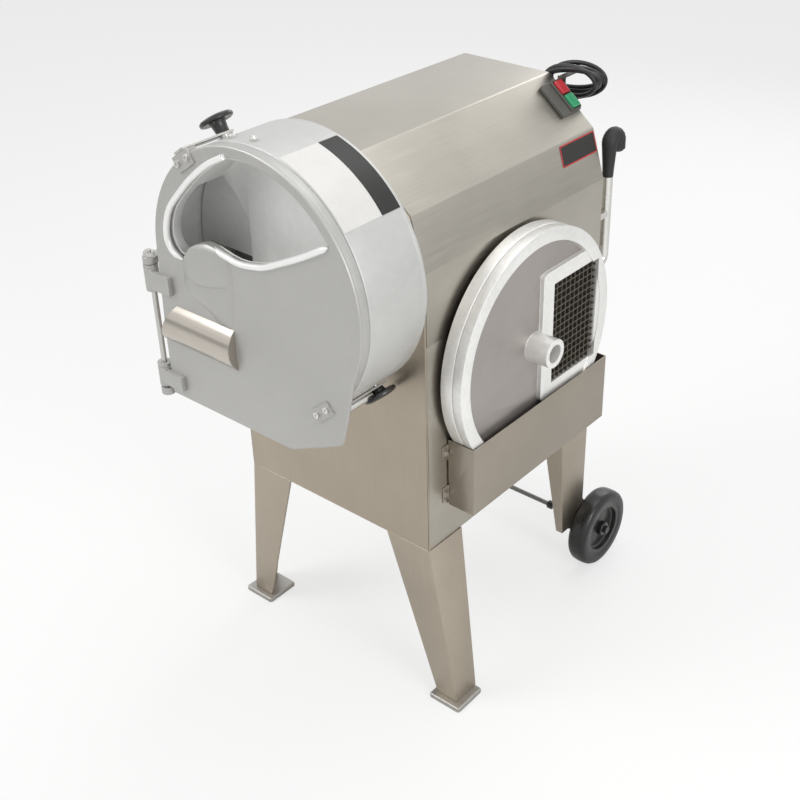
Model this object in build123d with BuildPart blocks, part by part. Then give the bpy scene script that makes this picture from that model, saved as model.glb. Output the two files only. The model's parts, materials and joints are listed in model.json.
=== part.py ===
# Floor-standing slicing machine: faceted housing on four legs, round cutting drum with a hinged
# front door and feed hopper, side pocket with two spare discs, rear wheels and handles.
# Frame: origin at the centre of the base, +Z up, the door faces -Y, the pocket is on +X.
# All sizes in millimetres.
from build123d import *
import math
import os

os.makedirs("parts", exist_ok=True)

# ---- driving dimensions -------------------------------------------------------------------
bodyDepth = 504.0
bodyHalfWidth = 220.0
bodyBottomZ = 350.0
hoodBottomZ = 757.0
sheet = 2.0
frontPlateThick = 4.0

drumAxisZ = 855.0
drumOuterR = 226.0
drumInnerR = drumOuterR - 8.0
drumScale = drumOuterR / 226.0
drumDepth = 129.0            # ring depth in front of the housing
doorGap = 0.4
doorBackY = -(drumDepth + doorGap)
doorFrontY = doorBackY - 21.6
doorPlateThick = 8.0
apronBottomZ = drumAxisZ - 277.0
# right half, corners of the hood
hoodProfile = [(bodyHalfWidth, drumAxisZ + 30.0), (bodyHalfWidth - 27.0, drumAxisZ + 119.0),
               (bodyHalfWidth - 124.0, drumAxisZ + 200.0)]

hingeX, hingeY = -drumOuterR - 28.0, doorFrontY + 5.0
hingePinR = 5.0
knuckleBore = 5.1

discR = drumInnerR - 2.5
discPlaneY = 69.0 - drumDepth           # front face of the fitted disc
discThick = 8.0
shaftR = 15.0
shaftBore = 15.05

latchAngleTop = 125.0
latchAngleLow = -51.0
studTopY = 69.0 - drumDepth
studLowY = 92.0 - drumDepth

wheelR = 84.0
wheelWidth = 42.0
wheelInnerX = bodyHalfWidth - 10.5
axleY, axleZ = bodyDepth + 36.0, wheelR
axleR = 5.0
wheelBore = 5.08

pocketX0, pocketX1 = bodyHalfWidth, bodyHalfWidth + 55.7
pocketY0, pocketY1 = 54.0, bodyDepth - 45.4
pocketZ0, pocketZ1 = 422.0, 557.0
storeY, storeZ = (pocketY0 + pocketY1) / 2 - 16.3, pocketZ0 + 32.4 + discR

motorZ = bodyBottomZ + 102.0
beltY = 146.0
bigPulleyR, smallPulleyR = 105.0, 35.0

# the frame's origin is the centre of the base: hub of the stored disc to left foot, guard to wheels
centreX = (pocketX0 + 86.0 - bodyHalfWidth - 63.5) / 2
bodyFrontY = -(axleY + wheelR + doorFrontY - 18.0) / 2      # front plane of the housing

tubeX, tubeY = bodyHalfWidth - 11.0, bodyDepth + 31.0


def fy(y):
    return bodyFrontY + y


def xz(y):
    # sketch plane facing the front, local x = X, local y = Z, extrude goes towards the front
    return Plane(origin=(0, fy(y), 0), x_dir=(1, 0, 0), z_dir=(0, -1, 0))


def yz(x):
    # sketch plane facing +X, local x = Y, local y = Z
    return Plane(origin=(x, 0, 0), x_dir=(0, 1, 0), z_dir=(1, 0, 0))


def polar(r, deg):
    a = math.radians(deg)
    return (r * math.cos(a), drumAxisZ + r * math.sin(a))


def radialPlane(deg, r, y):
    # plane on the drum surface: z_dir points outwards, x_dir along +Y
    x, z = polar(r, deg)
    a = math.radians(deg)
    return Plane(origin=(x, fy(y), z), x_dir=(0, 1, 0), z_dir=(math.cos(a), 0, math.sin(a)))


def box(x0, x1, y0, y1, z0, z1, mode=Mode.ADD):
    with Locations(((x0 + x1) / 2, fy((y0 + y1) / 2), (z0 + z1) / 2)):
        Box(x1 - x0, y1 - y0, z1 - z0, mode=mode)


def rodY(x, z, r, y0, y1, mode=Mode.ADD):
    with Locations((x, fy((y0 + y1) / 2), z)):
        Cylinder(r, y1 - y0, rotation=(90, 0, 0), mode=mode)


def rodX(y, z, r, x0, x1, mode=Mode.ADD):
    with Locations(((x0 + x1) / 2, fy(y), z)):
        Cylinder(r, x1 - x0, rotation=(0, 90, 0), mode=mode)


def rodZ(x, y, r, z0, z1, mode=Mode.ADD):
    with Locations((x, fy(y), (z0 + z1) / 2)):
        Cylinder(r, z1 - z0, mode=mode)


def hexY(x, z, across, y0, y1):
    with BuildSketch(xz(y1)) as hexagon:
        with Locations((x, z)):
            RegularPolygon(across / math.sqrt(3), 6)
    extrude(hexagon.sketch, amount=y1 - y0)


def save(builder, name):
    placed = builder.part.moved(Location((-centreX, 0, 0)))
    placed.label = name
    export_step(placed, f"parts/{name}.step")


def hoodPoints(inset, low):
    # closed outline of the hood section, inset by a sheet thickness, down to the given height
    pts = [(x - inset, z - inset * 0.35) for x, z in hoodProfile[:1]]
    pts += [(x - inset * 0.9, z - inset * 0.7) for x, z in hoodProfile[1:2]]
    pts += [(x - inset * 0.35, z - inset) for x, z in hoodProfile[2:]]
    right = [(bodyHalfWidth - inset, low)] + pts
    left = [(-x, z) for x, z in reversed(right)]
    return right + left


# ---- housing ------------------------------------------------------------------------------
with BuildPart() as front_plate:
    with BuildSketch(xz(frontPlateThick)):
        Polygon(*hoodPoints(0, bodyBottomZ), align=None)
        with Locations((0, drumAxisZ)):
            Circle(36, mode=Mode.SUBTRACT)
    extrude(amount=frontPlateThick)
save(front_plate, "front_plate")

with BuildPart() as hood:
    with BuildSketch(xz(bodyDepth)):
        Polygon(*hoodPoints(0, hoodBottomZ), align=None)
    extrude(amount=bodyDepth - frontPlateThick)
    with BuildSketch(xz(bodyDepth - sheet)):
        Polygon(*hoodPoints(sheet, hoodBottomZ - 1), align=None)
    extrude(amount=bodyDepth - sheet - frontPlateThick, mode=Mode.SUBTRACT)
    # switch cut-out in the upper slope and cable hole in the rear wall
    rodY(60, 985, 10, bodyDepth - 6, bodyDepth + 4, mode=Mode.SUBTRACT)
save(hood, "hood")

lowHalf = bodyHalfWidth - sheet
with BuildPart() as lower_housing:
    box(-lowHalf, lowHalf, frontPlateThick, bodyDepth - sheet, bodyBottomZ, hoodBottomZ + 30)
    box(-lowHalf + sheet, lowHalf - sheet, frontPlateThick - 1, bodyDepth - 2 * sheet,
        bodyBottomZ - 1, hoodBottomZ + 31, mode=Mode.SUBTRACT)
    box(-lowHalf + 68, lowHalf - 68, bodyDepth - 3 * sheet, bodyDepth, 420, 690,
        mode=Mode.SUBTRACT)
save(lower_housing, "lower_housing")

with BuildPart() as rear_cover:
    box(-lowHalf + 48, lowHalf - 48, bodyDepth - sheet, bodyDepth, 400, 710)
    with Locations([(0, fy(bodyDepth - 1), 470 + 18 * i) for i in range(8)]):
        Box(180, 6, 6, mode=Mode.SUBTRACT)
save(rear_cover, "rear_cover")

with BuildPart() as base_tray:
    box(-lowHalf + sheet, lowHalf - sheet, frontPlateThick, bodyDepth - 2 * sheet,
        bodyBottomZ, bodyBottomZ + 4)
    with Locations([(-120 + 30 * i, fy(80), bodyBottomZ + 2) for i in range(9)]):
        Box(8, 60, 10, mode=Mode.SUBTRACT)
save(base_tray, "base_tray")


# ---- legs, feet, axle ---------------------------------------------------------------------
def angleSection(cx, cy, wx, wy, t, side):
    # angle iron section: corner at (cx, cy), one flange along X, one towards the rear
    s = side
    return [(s * cx, fy(cy)), (s * cx, fy(cy + wy)), (s * (cx - t), fy(cy + wy)),
            (s * (cx - t), fy(cy + t)), (s * (cx - wx), fy(cy + t)), (s * (cx - wx), fy(cy))]


def leg(top, bottom, zTop, zBottom, side):
    with BuildSketch(Plane.XY.offset(zTop)) as upper:
        with BuildLine():
            Polyline(*angleSection(*top, side), close=True)
        make_face()
    with BuildSketch(Plane.XY.offset(zBottom)) as lower:
        with BuildLine():
            Polyline(*angleSection(*bottom, side), close=True)
        make_face()
    loft(sections=[upper.sketch, lower.sketch], ruled=True)


for side, name in ((-1, "leg_front_left"), (1, "leg_front_right")):
    with BuildPart() as legPart:
        leg((bodyHalfWidth, 0, 99, 91, 4), (bodyHalfWidth + 49, 12, 47, 58, 4), bodyBottomZ, 10,
            side)
        with Locations((side * (bodyHalfWidth - 49), fy(45), bodyBottomZ - 2)):
            Box(94, 86, 4)
    save(legPart, name)

for side, name in ((-1, "leg_rear_left"), (1, "leg_rear_right")):
    with BuildPart() as legPart:
        leg((bodyHalfWidth - 5, bodyDepth - 89, 44, 89, 4),
            (bodyHalfWidth - 15, bodyDepth - 57, 16, 72, 4), bodyBottomZ, axleZ + 23, side)
        with Locations((side * (bodyHalfWidth - 28), fy(bodyDepth - 43), bodyBottomZ - 2)):
            Box(40, 82, 4)
        # lug that carries the axle
        lugX = bodyHalfWidth - 20
        with BuildSketch(yz(lugX if side > 0 else -lugX - 4.5)):
            with BuildLine():
                Polyline((fy(axleY - 88), axleZ + 86), (fy(axleY - 28), axleZ + 86),
                         (fy(axleY + 16), axleZ + 16), (fy(axleY + 16), axleZ - 16),
                         (fy(axleY - 16), axleZ - 16), (fy(axleY - 88), axleZ + 34), close=True)
            make_face()
            with Locations((fy(axleY), axleZ)):
                Circle(axleR, mode=Mode.SUBTRACT)
        extrude(amount=4.5)
    save(legPart, name)

with BuildPart() as feet:
    for side in (-1, 1):
        with Locations((side * (bodyHalfWidth + 28), fy(34.5), 5)):
            Box(71, 71, 10)
    fillet(feet.edges().filter_by(Axis.Z), 5)
    chamfer(feet.faces().filter_by(Plane.XY).group_by(Axis.Z)[-1].edges(), 2)
save(feet, "feet")

axleHalf = wheelInnerX + wheelWidth + 5
with BuildPart() as axle:
    rodX(axleY, axleZ, axleR, -axleHalf, axleHalf)
save(axle, "axle")

with BuildPart() as axle_fittings:
    for side in (-1, 1):
        x0 = side * 112
        rodX(axleY, axleZ, 9, x0 - 5, x0 + 5)
        rodX(axleY, axleZ, axleR, x0 - 6, x0 + 6, mode=Mode.SUBTRACT)
    for side in (-1, 1):
        a, b = side * (wheelInnerX + wheelWidth + 0.6), side * (axleHalf + 2)
        rodX(axleY, axleZ, 8, min(a, b), max(a, b))
        rodX(axleY, axleZ, axleR, -axleHalf, axleHalf, mode=Mode.SUBTRACT)
save(axle_fittings, "axle_fittings")

for side, suffix in ((-1, "left"), (1, "right")):
    x0 = wheelInnerX if side > 0 else -wheelInnerX - wheelWidth
    x1 = x0 + wheelWidth
    with BuildPart() as tyre:
        rodX(axleY, axleZ, wheelR, x0, x1)
        fillet(tyre.edges().filter_by(GeomType.CIRCLE), 7)
        rodX(axleY, axleZ, 56, x0 - 1, x1 + 1, mode=Mode.SUBTRACT)
    save(tyre, f"tyre_{suffix}")
    with BuildPart() as rim:
        rodX(axleY, axleZ, 56, x0 + 2, x1 - 2)
        rodX(axleY, axleZ, 48, x0 + 1, x0 + 14, mode=Mode.SUBTRACT)
        rodX(axleY, axleZ, 48, x1 - 14, x1 - 1, mode=Mode.SUBTRACT)
        rodX(axleY, axleZ, 15, x0, x1)
        rodX(axleY, axleZ, wheelBore, x0 - 1, x1 + 1, mode=Mode.SUBTRACT)
    save(rim, f"wheel_rim_{suffix}")

# ---- drum ---------------------------------------------------------------------------------
with BuildPart() as drum:
    rodY(0, drumAxisZ, drumOuterR, -drumDepth, 0)
    rodY(0, drumAxisZ, drumInnerR, -drumDepth - 1, -8, mode=Mode.SUBTRACT)
    rodY(0, drumAxisZ, 60, -9, 1, mode=Mode.SUBTRACT)
    # outlet at the bottom of the drum wall
    with BuildSketch(xz(-8)):
        with BuildLine():
            Polyline((0, drumAxisZ), polar(420, -145), (-344, drumAxisZ - 425),
                     (184, drumAxisZ - 425), polar(420, -66), close=True)
        make_face()
        with Locations((0, drumAxisZ)):
            Circle(drumInnerR - 48, mode=Mode.SUBTRACT)
    extrude(amount=drumDepth, mode=Mode.SUBTRACT)
save(drum, "drum")


with BuildPart() as drum_studs:
    for deg, y, length in ((latchAngleTop, studTopY, 32), (latchAngleLow, studLowY, 18)):
        with BuildSketch(radialPlane(deg, drumOuterR - 2, y)):
            Circle(5.0)
        extrude(amount=length + 2)
    rodY(0, drumAxisZ, drumOuterR, -drumDepth, 0, mode=Mode.SUBTRACT)
    for deg in (104.0, 92.0):
        with BuildSketch(radialPlane(deg, drumOuterR, 17 - drumDepth)):
            RegularPolygon(6.5, 6)
        extrude(amount=4)
        with BuildSketch(radialPlane(deg, drumOuterR + 4, 17 - drumDepth)):
            Circle(5.0)
        extrude(amount=4, taper=20)
save(drum_studs, "drum_studs")

# top clamp strap: lies over the drum from the stud to the front, above the door bracket
strapLength = studTopY + 14 - doorFrontY
with BuildPart() as clamp_strap:
    with BuildSketch(radialPlane(latchAngleTop, drumOuterR + 7.0, studTopY)):
        with Locations((doorFrontY - 2 - studTopY + strapLength / 2, 0)):
            Rectangle(strapLength, 24)
        Circle(5.4, mode=Mode.SUBTRACT)
    extrude(amount=3.5)
    with BuildSketch(radialPlane(latchAngleTop, drumOuterR + 0.4, studTopY)):
        Circle(12)
        Circle(5.4, mode=Mode.SUBTRACT)
    extrude(amount=6.6)
save(clamp_strap, "clamp_strap")

with BuildPart() as hinge_lugs:
    for low, high in ((-32, -20), (-286, -272)):
        z0, z1 = drumAxisZ + low, drumAxisZ + high
        rodZ(hingeX, hingeY, 12, z0, z1)
        box(hingeX - 10, hingeX + 10, hingeY, hingeY + 46, z0, z1)
        box(hingeX - 10, hingeX + 40, hingeY + 24, hingeY + 62, z0, z1)
        rodZ(hingeX, hingeY, hingePinR, z0 - 1, z1 + 1, mode=Mode.SUBTRACT)
    # the upper lug ends on the drum wall, the lower one on the housing front
    rodY(0, drumAxisZ, drumOuterR, -drumDepth - 40, 0, mode=Mode.SUBTRACT)
    box(hingeX + 14, hingeX + 32, hingeY + 24, hingeY + 62, drumAxisZ - 286, drumAxisZ - 272)
    box(hingeX + 14, 20 - bodyHalfWidth, hingeY + 56, 0, drumAxisZ - 286, drumAxisZ - 272)
save(hinge_lugs, "hinge_lugs")

with BuildPart() as hinge_pin:
    rodZ(hingeX, hingeY, hingePinR, drumAxisZ - 289, drumAxisZ - 9)
    with BuildSketch(Plane(origin=(hingeX, fy(hingeY), drumAxisZ - 19.8))):
        RegularPolygon(10, 6)
        Circle(hingePinR, mode=Mode.SUBTRACT)
    extrude(amount=8)
save(hinge_pin, "hinge_pin")

# ---- drive --------------------------------------------------------------------------------
with BuildPart() as bearing_housing:
    rodY(0, drumAxisZ, 58, frontPlateThick, frontPlateThick + 10)
    rodY(0, drumAxisZ, 34, -6, 118)
    rodY(0, drumAxisZ, shaftBore, -7, 119, mode=Mode.SUBTRACT)
save(bearing_housing, "bearing_housing")

with BuildPart() as main_shaft:
    rodY(0, drumAxisZ, shaftR, -80, 168)
save(main_shaft, "main_shaft")

with BuildPart() as cutting_disc:
    rodY(0, drumAxisZ, discR, discPlaneY, discPlaneY + discThick)
    rodY(0, drumAxisZ, discR - 12, discPlaneY + 4, discPlaneY + discThick + 1, mode=Mode.SUBTRACT)
    rodY(0, drumAxisZ, 27, discPlaneY, discPlaneY + 46)
    rodY(0, drumAxisZ, shaftR, discPlaneY - 1, discPlaneY + 50, mode=Mode.SUBTRACT)
    # two slots behind the blades
    with BuildSketch(xz(discPlaneY + discThick + 1)):
        for s in (-1, 1):
            with Locations((s * 120, drumAxisZ + s * 22)):
                Rectangle(150, 14)
    extrude(amount=discThick + 2, mode=Mode.SUBTRACT)
save(cutting_disc, "cutting_disc")

with BuildPart() as cutting_blades:
    for s in (-1, 1):
        with BuildSketch(yz(-75 if s < 0 else 45)):
            y0 = fy(discPlaneY)
            z0 = drumAxisZ + s * 22 - s * 7
            Polygon((y0, z0 - s * 9), (y0 - 1.2, z0 - s * 9), (y0 - 4.0, z0 + s * 11),
                    (y0 - 3.4, z0 + s * 11), (y0, z0), align=None)
        extrude(amount=150 if s > 0 else -120)
save(cutting_blades, "cutting_blades")

with BuildPart() as disc_nut:
    hexY(0, drumAxisZ, 36, discPlaneY - 14, discPlaneY)
    rodY(0, drumAxisZ, shaftR, discPlaneY - 15, discPlaneY + 1, mode=Mode.SUBTRACT)
save(disc_nut, "disc_nut")


def pulley(z, r, bore):
    # V-belt pulley: grooved rim, web and hub
    with BuildSketch(Plane(origin=(0, fy(beltY), z), x_dir=(1, 0, 0), z_dir=(0, 0, 1))) as rim:
        with BuildLine():
            Polyline((bore, -14), (r + 5, -14), (r + 5, -8), (r - 7, -3.5), (r - 7, 3.5),
                     (r + 5, 8), (r + 5, 14), (bore, 14), close=True)
        make_face()
    revolve(rim.sketch, axis=Axis((0, fy(beltY), z), (0, 1, 0)))


with BuildPart() as big_pulley:
    pulley(drumAxisZ, bigPulleyR, shaftR)
    rodY(0, drumAxisZ, bigPulleyR - 16, beltY + 6, beltY + 15, mode=Mode.SUBTRACT)
    rodY(0, drumAxisZ, bigPulleyR - 16, beltY - 15, beltY - 6, mode=Mode.SUBTRACT)
    rodY(0, drumAxisZ, 26, beltY - 14, beltY + 20)
    rodY(0, drumAxisZ, shaftR, beltY - 20, beltY + 21, mode=Mode.SUBTRACT)
save(big_pulley, "big_pulley")

with BuildPart() as small_pulley:
    pulley(motorZ, smallPulleyR, 9)
save(small_pulley, "small_pulley")

def beltLoop(extra):
    a = math.asin((bigPulleyR - smallPulleyR) / (drumAxisZ - motorZ))
    rb, rs = bigPulleyR + extra, smallPulleyR + extra
    c, s = math.cos(a), math.sin(a)
    with Locations((0, drumAxisZ)):
        Circle(rb)
    with Locations((0, motorZ)):
        Circle(rs)
    Polygon((rb * c, drumAxisZ - rb * s), (-rb * c, drumAxisZ - rb * s),
            (-rs * c, motorZ - rs * s), (rs * c, motorZ - rs * s), align=None)


with BuildPart() as v_belt:
    with BuildSketch(xz(beltY + 3)) as outerLoop:
        beltLoop(4)
    extrude(amount=6)
    with BuildSketch(xz(beltY + 4)) as innerLoop:
        beltLoop(-6.7)
    extrude(amount=8, mode=Mode.SUBTRACT)
save(v_belt, "v_belt")

with BuildPart() as motor:
    rodY(0, motorZ, 72, 190, 400)
    with Locations([(0, fy(215 + 20 * i), motorZ) for i in range(8)]):
        Cylinder(78, 6, rotation=(90, 0, 0))
    rodY(0, motorZ, 45, 176, 190)
    box(-80, 80, 215, 375, bodyBottomZ + 4, bodyBottomZ + 12)
    box(-60, -48, 220, 370, bodyBottomZ + 12, motorZ - 50)
    box(48, 60, 220, 370, bodyBottomZ + 12, motorZ - 50)
    rodY(0, motorZ, 9.1, 170, 380, mode=Mode.SUBTRACT)
save(motor, "motor")

with BuildPart() as motor_shaft:
    rodY(0, motorZ, 9, beltY - 18, 379)
save(motor_shaft, "motor_shaft")

# ---- switch on the upper slope ------------------------------------------------------------
sx0, sz0 = hoodProfile[2]
sx1, sz1 = hoodProfile[1]
slopeLen = math.hypot(sx1 - sx0, sz0 - sz1)
slopeX, slopeZ = (sx1 - sx0) / slopeLen, (sz1 - sz0) / slopeLen
normalX, normalZ = -slopeZ, slopeX


def slopePlane(s, y, out):
    # on the upper slope: local x runs rearwards, z_dir points away from the hood
    return Plane(origin=(sx0 + slopeX * s + normalX * out, fy(y), sz0 + slopeZ * s + normalZ * out),
                 x_dir=(0, 1, 0), z_dir=(normalX, 0, normalZ))


switchS, switchY = 54.0, bodyDepth - 30.0
buttonS, buttonY = 16.5, switchY + 9.0
with BuildPart() as switch_box:
    with BuildSketch(slopePlane(switchS, switchY, 0)):
        RectangleRounded(56, 68, 3)
    extrude(amount=7)
    with BuildSketch(slopePlane(switchS, buttonY, 7)):
        RectangleRounded(36, 66, 3)
    extrude(amount=4)
    for ds in (-buttonS, buttonS):
        with BuildSketch(slopePlane(switchS + ds, buttonY, 11)):
            RectangleRounded(32, 30, 3)
        extrude(amount=-8, mode=Mode.SUBTRACT)
save(switch_box, "switch_box")

for ds, name in ((-buttonS, "button_stop"), (buttonS, "button_start")):
    with BuildPart() as button:
        with BuildSketch(slopePlane(switchS + ds, buttonY, 6.4)):
            RectangleRounded(31.2, 29.2, 2.6)
        extrude(amount=9.6)
        fillet(button.faces().sort_by(Axis((0, 0, 0), (normalX, 0, normalZ)))[-1].edges(), 1.4)
    save(button, name)

# ---- bare plates ---------------------------------------------------------------------------
def drumPlate(a0, a1, y0, y1, t):
    with BuildSketch(xz(y1)) as plate:
        with BuildLine():
            p = [polar(drumOuterR + 0.1, a0 + (a1 - a0) * k / 12) for k in range(13)]
            q = [polar(drumOuterR + 0.1 + t, a1 - (a1 - a0) * k / 12) for k in range(13)]
            ThreePointArc(p[0], p[6], p[12])
            Line(p[12], q[0])
            ThreePointArc(q[0], q[6], q[12])
            Line(q[12], p[0])
        make_face()
    extrude(plate.sketch, amount=y1 - y0)


with BuildPart() as drum_band:
    drumPlate(36.5, 75, drumDepth * -0.352, -6, 0.6)
save(drum_band, "drum_band")

tx0, tz0 = hoodProfile[1]
tx1, tz1 = hoodProfile[0]
steepLen = math.hypot(tx1 - tx0, tz0 - tz1)
steepX, steepZ = (tx1 - tx0) / steepLen, (tz1 - tz0) / steepLen
with BuildPart() as bare_plates:
    drumPlate(36.5, 75, 2 - drumDepth, drumDepth * -0.36, 0.6)
    s = 24.0
    with BuildSketch(Plane(origin=(tx0 + steepX * s, fy(bodyDepth - 57), tz0 + steepZ * s), x_dir=(0, 1, 0),
                           z_dir=(-steepZ, 0, steepX))):
        Rectangle(106, 38)
    extrude(amount=0.6)
save(bare_plates, "bare_plates")

# ---- pocket -------------------------------------------------------------------------------
with BuildPart() as pocket:
    box(pocketX0, pocketX1, pocketY0, pocketY1, pocketZ0, pocketZ1)
    box(pocketX0 - 1, pocketX1 - sheet, pocketY0 + sheet, pocketY1 - sheet,
        pocketZ0 + sheet, pocketZ1 + 1, mode=Mode.SUBTRACT)
    # strap behind the discs that ties the two ends to the housing side
    box(pocketX0 - 2, pocketX0, pocketY0 - 14, pocketY1 + 14, pocketZ0 + 10, pocketZ0 + 40)
    box(pocketX0 - 2, pocketX0, pocketY0 - 14, pocketY1 + 14, pocketZ1 - 40, pocketZ1 - 10)
save(pocket, "pocket")

with BuildPart() as housing_screws:
    for sx in (60 - bodyHalfWidth, bodyHalfWidth - 60):
        for z in (410, 555, 700):
            rodY(sx, z, 5.0, bodyDepth, bodyDepth + 3)
    for y in (pocketY0 - 7, pocketY1 + 7):
        for z in (pocketZ0 + 25, pocketZ1 - 25):
            rodX(y, z, 4.5, pocketX0, pocketX0 + 2.5)
save(housing_screws, "housing_screws")

with BuildPart() as disc_rest:
    box(pocketX0 + 4, pocketX1 - sheet - 1, storeY - 70, storeY + 70,
        pocketZ0 + sheet, storeZ - discR - 0.3)
save(disc_rest, "disc_rest")


def storedDisc(x0, x1, webX0, webX1, innerR):
    rodX(storeY, storeZ, discR, x0, x1)
    rodX(storeY, storeZ, innerR, webX1, x1 + 1, mode=Mode.SUBTRACT)
    if webX0 > x0:
        rodX(storeY, storeZ, innerR, x0 - 1, webX0, mode=Mode.SUBTRACT)


gridY0, gridY1, gridZ0, gridZ1 = storeY + 46, storeY + 180, storeZ - 93, storeZ + 103
frameSide, frameTop = 32.0, 28.0
with BuildPart() as dicing_disc:
    x0 = pocketX0 + 34
    storedDisc(x0, x0 + 18, x0, x0 + 7, discR - 24.5)
    # raised frame around the window, ending on the rim
    with BuildSketch(yz(x0 + 6)) as frameFace:
        with Locations((fy(storeY), storeZ)):
            Circle(discR - 20)
        with Locations((fy(gridY0 - frameSide) + 200, (gridZ0 + gridZ1) / 2)):
            RectangleRounded(400, gridZ1 - gridZ0 + 2 * frameTop, 14, mode=Mode.INTERSECT)
    extrude(frameFace.sketch, amount=9)
    rodX(storeY, storeZ, 26.5, x0, x0 + 52)
    box(x0 - 4, x0 + 20, gridY0, gridY1, gridZ0, gridZ1, mode=Mode.SUBTRACT)
    rodX(storeY, storeZ, 17, x0 - 1, x0 + 56, mode=Mode.SUBTRACT)
save(dicing_disc, "dicing_disc")

with BuildPart() as dicing_grid:
    for i in range(1, 10):
        y = gridY0 + (gridY1 - gridY0) * i / 10
        box(pocketX0 + 36, pocketX0 + 46, y - 0.7, y + 0.7, gridZ0, gridZ1)
    for i in range(1, 15):
        z = gridZ0 + (gridZ1 - gridZ0) * i / 15
        box(pocketX0 + 36, pocketX0 + 46, gridY0, gridY1, z - 0.7, z + 0.7)
save(dicing_grid, "dicing_grid")

with BuildPart() as spare_disc:
    x0 = pocketX0 + 9
    storedDisc(x0, x0 + 24, x0 + 12, x0 + 19, discR - 18.5)
    rodX(storeY, storeZ, 27, x0, x0 + 23)
    box(x0 + 9, x0 + 21, storeY + 40, storeY + 180, storeZ + 16, storeZ + 30, mode=Mode.SUBTRACT)
    box(x0 + 9, x0 + 21, storeY - 180, storeY - 40, storeZ - 30, storeZ - 16, mode=Mode.SUBTRACT)
    rodX(storeY, storeZ, 17, x0 - 1, x0 + 24, mode=Mode.SUBTRACT)
save(spare_disc, "spare_disc")

# ---- door ---------------------------------------------------------------------------------
# outline of the feed opening on the front plane: lip from left to right, then back over the top
lipPoints = [(-158, 858), (-133, 883), (-100, 898), (-81, 900), (-54, 895), (-21, 891),
             (13, 896), (35, 902), (69, 918), (113, 940), (155, 964), (171, 973)]
crownPoints = [(-36, 1060), (-72, 1040), (-111, 1010), (-144, 978), (-174, 944), (-188, 911),
               (-190, 884), (-179, 866), (-158, 858)]
mouthR = math.hypot(171, 973 - drumAxisZ)


def mouthWire():
    Spline(*lipPoints)
    ThreePointArc(lipPoints[-1], polar(mouthR, 66), crownPoints[0])
    Spline(*crownPoints)


# rounded bead along the lip and the crown of the opening
with BuildPart() as hopper_rim:
    for pts in (lipPoints, [(-28, 1062)] + crownPoints):
        with BuildLine() as path:
            Spline(*[(x, fy(doorFrontY - 1.5), z) for x, z in pts])
        with BuildSketch(Plane(origin=path.line @ 0, z_dir=path.line % 0)):
            Circle(4.6)
        sweep(path=path.line)
save(hopper_rim, "hopper_rim")


def swellSection(z, x0, x1, rise):
    # low arch standing out of the door front between x0 and x1
    with BuildSketch(Plane.XY.offset(z)) as segment:
        with BuildLine():
            ThreePointArc((x0, fy(doorFrontY)), ((x0 + x1) / 2, fy(doorFrontY - rise)),
                          (x1, fy(doorFrontY)))
            Polyline((x1, fy(doorFrontY)), (x1, fy(doorFrontY + 5)), (x0, fy(doorFrontY + 5)),
                     (x0, fy(doorFrontY)))
        make_face()
    return segment.sketch


# bracket at the top clamp: on the door rim, under the clamp strap
with BuildPart() as door_brackets:
    with BuildSketch(radialPlane(latchAngleTop, drumOuterR, doorFrontY + 9.2)):
        Rectangle(24.4, 26)
    extrude(amount=6.2)
    with BuildSketch(xz(doorFrontY)):
        with Locations(Location((*polar(219, latchAngleTop), 0), (0, 0, latchAngleTop))):
            Rectangle(26, 44)
    extrude(amount=3)
    # fork at the lower clamp: fixed to the door, open towards the rear around the stud
    with BuildSketch(radialPlane(latchAngleLow, drumOuterR + 2.5, 0)):
        with Locations(((doorFrontY - 3 + studLowY + 15) / 2, 0)):
            Rectangle(studLowY + 15 - doorFrontY + 3, 34)
        with Locations((studLowY + 8, 0)):
            Rectangle(34, 19.5, mode=Mode.SUBTRACT)
    extrude(amount=3)
    with BuildSketch(radialPlane(latchAngleLow, drumOuterR, (doorFrontY + doorBackY) / 2)):
        Rectangle(doorBackY - doorFrontY, 30)
    extrude(amount=2.5)
    with BuildSketch(radialPlane(latchAngleLow, drumOuterR + 5.5, doorFrontY + 14)):
        with Locations((0, -11), (0, 11)):
            Rectangle(26, 6)
    extrude(amount=9)
    with BuildSketch(xz(doorFrontY)):
        with Locations(Location((*polar(220, latchAngleLow), 0), (0, 0, latchAngleLow))):
            Rectangle(23, 44)
    extrude(amount=3)
    rodY(0, drumAxisZ, drumOuterR, doorFrontY, 0, mode=Mode.SUBTRACT)
save(door_brackets, "door_brackets")

with BuildPart() as door:
    # round cover with a straight apron below the drum
    with BuildSketch(xz(doorFrontY + doorPlateThick)):
        with Locations((0, drumAxisZ)):
            Circle(drumOuterR)
        with BuildLine():
            Polyline((-drumOuterR, drumAxisZ), (-drumOuterR - 8, 700), (-drumOuterR - 8, apronBottomZ),
                     (58, apronBottomZ), (173, 632), (189, 690), (drumOuterR * 0.94, drumAxisZ - 60),
                     (0, drumAxisZ), close=True)
        make_face()
    extrude(amount=doorPlateThick)
    rodY(0, drumAxisZ, drumOuterR, doorFrontY, doorBackY)
    rodY(0, drumAxisZ, drumInnerR, doorFrontY + doorPlateThick, doorBackY + 1, mode=Mode.SUBTRACT)
    with BuildSketch(xz(doorFrontY + doorPlateThick + 1)):
        with BuildLine():
            mouthWire()
        make_face()
    extrude(amount=doorPlateThick + 2, mode=Mode.SUBTRACT)
    # low swell under the lip
    swell = drumAxisZ - 90
    loft(sections=[swellSection(swell, -118, -66, 6), swellSection(swell + 38, -160, -52, 13),
                   swellSection(swell + 84, -160, -42, 14), swellSection(swell + 112, -140, -44, 3)],
         ruled=True)
    add(hopper_rim.part, mode=Mode.SUBTRACT)
    add(door_brackets.part, mode=Mode.SUBTRACT)
save(door, "door")

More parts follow.
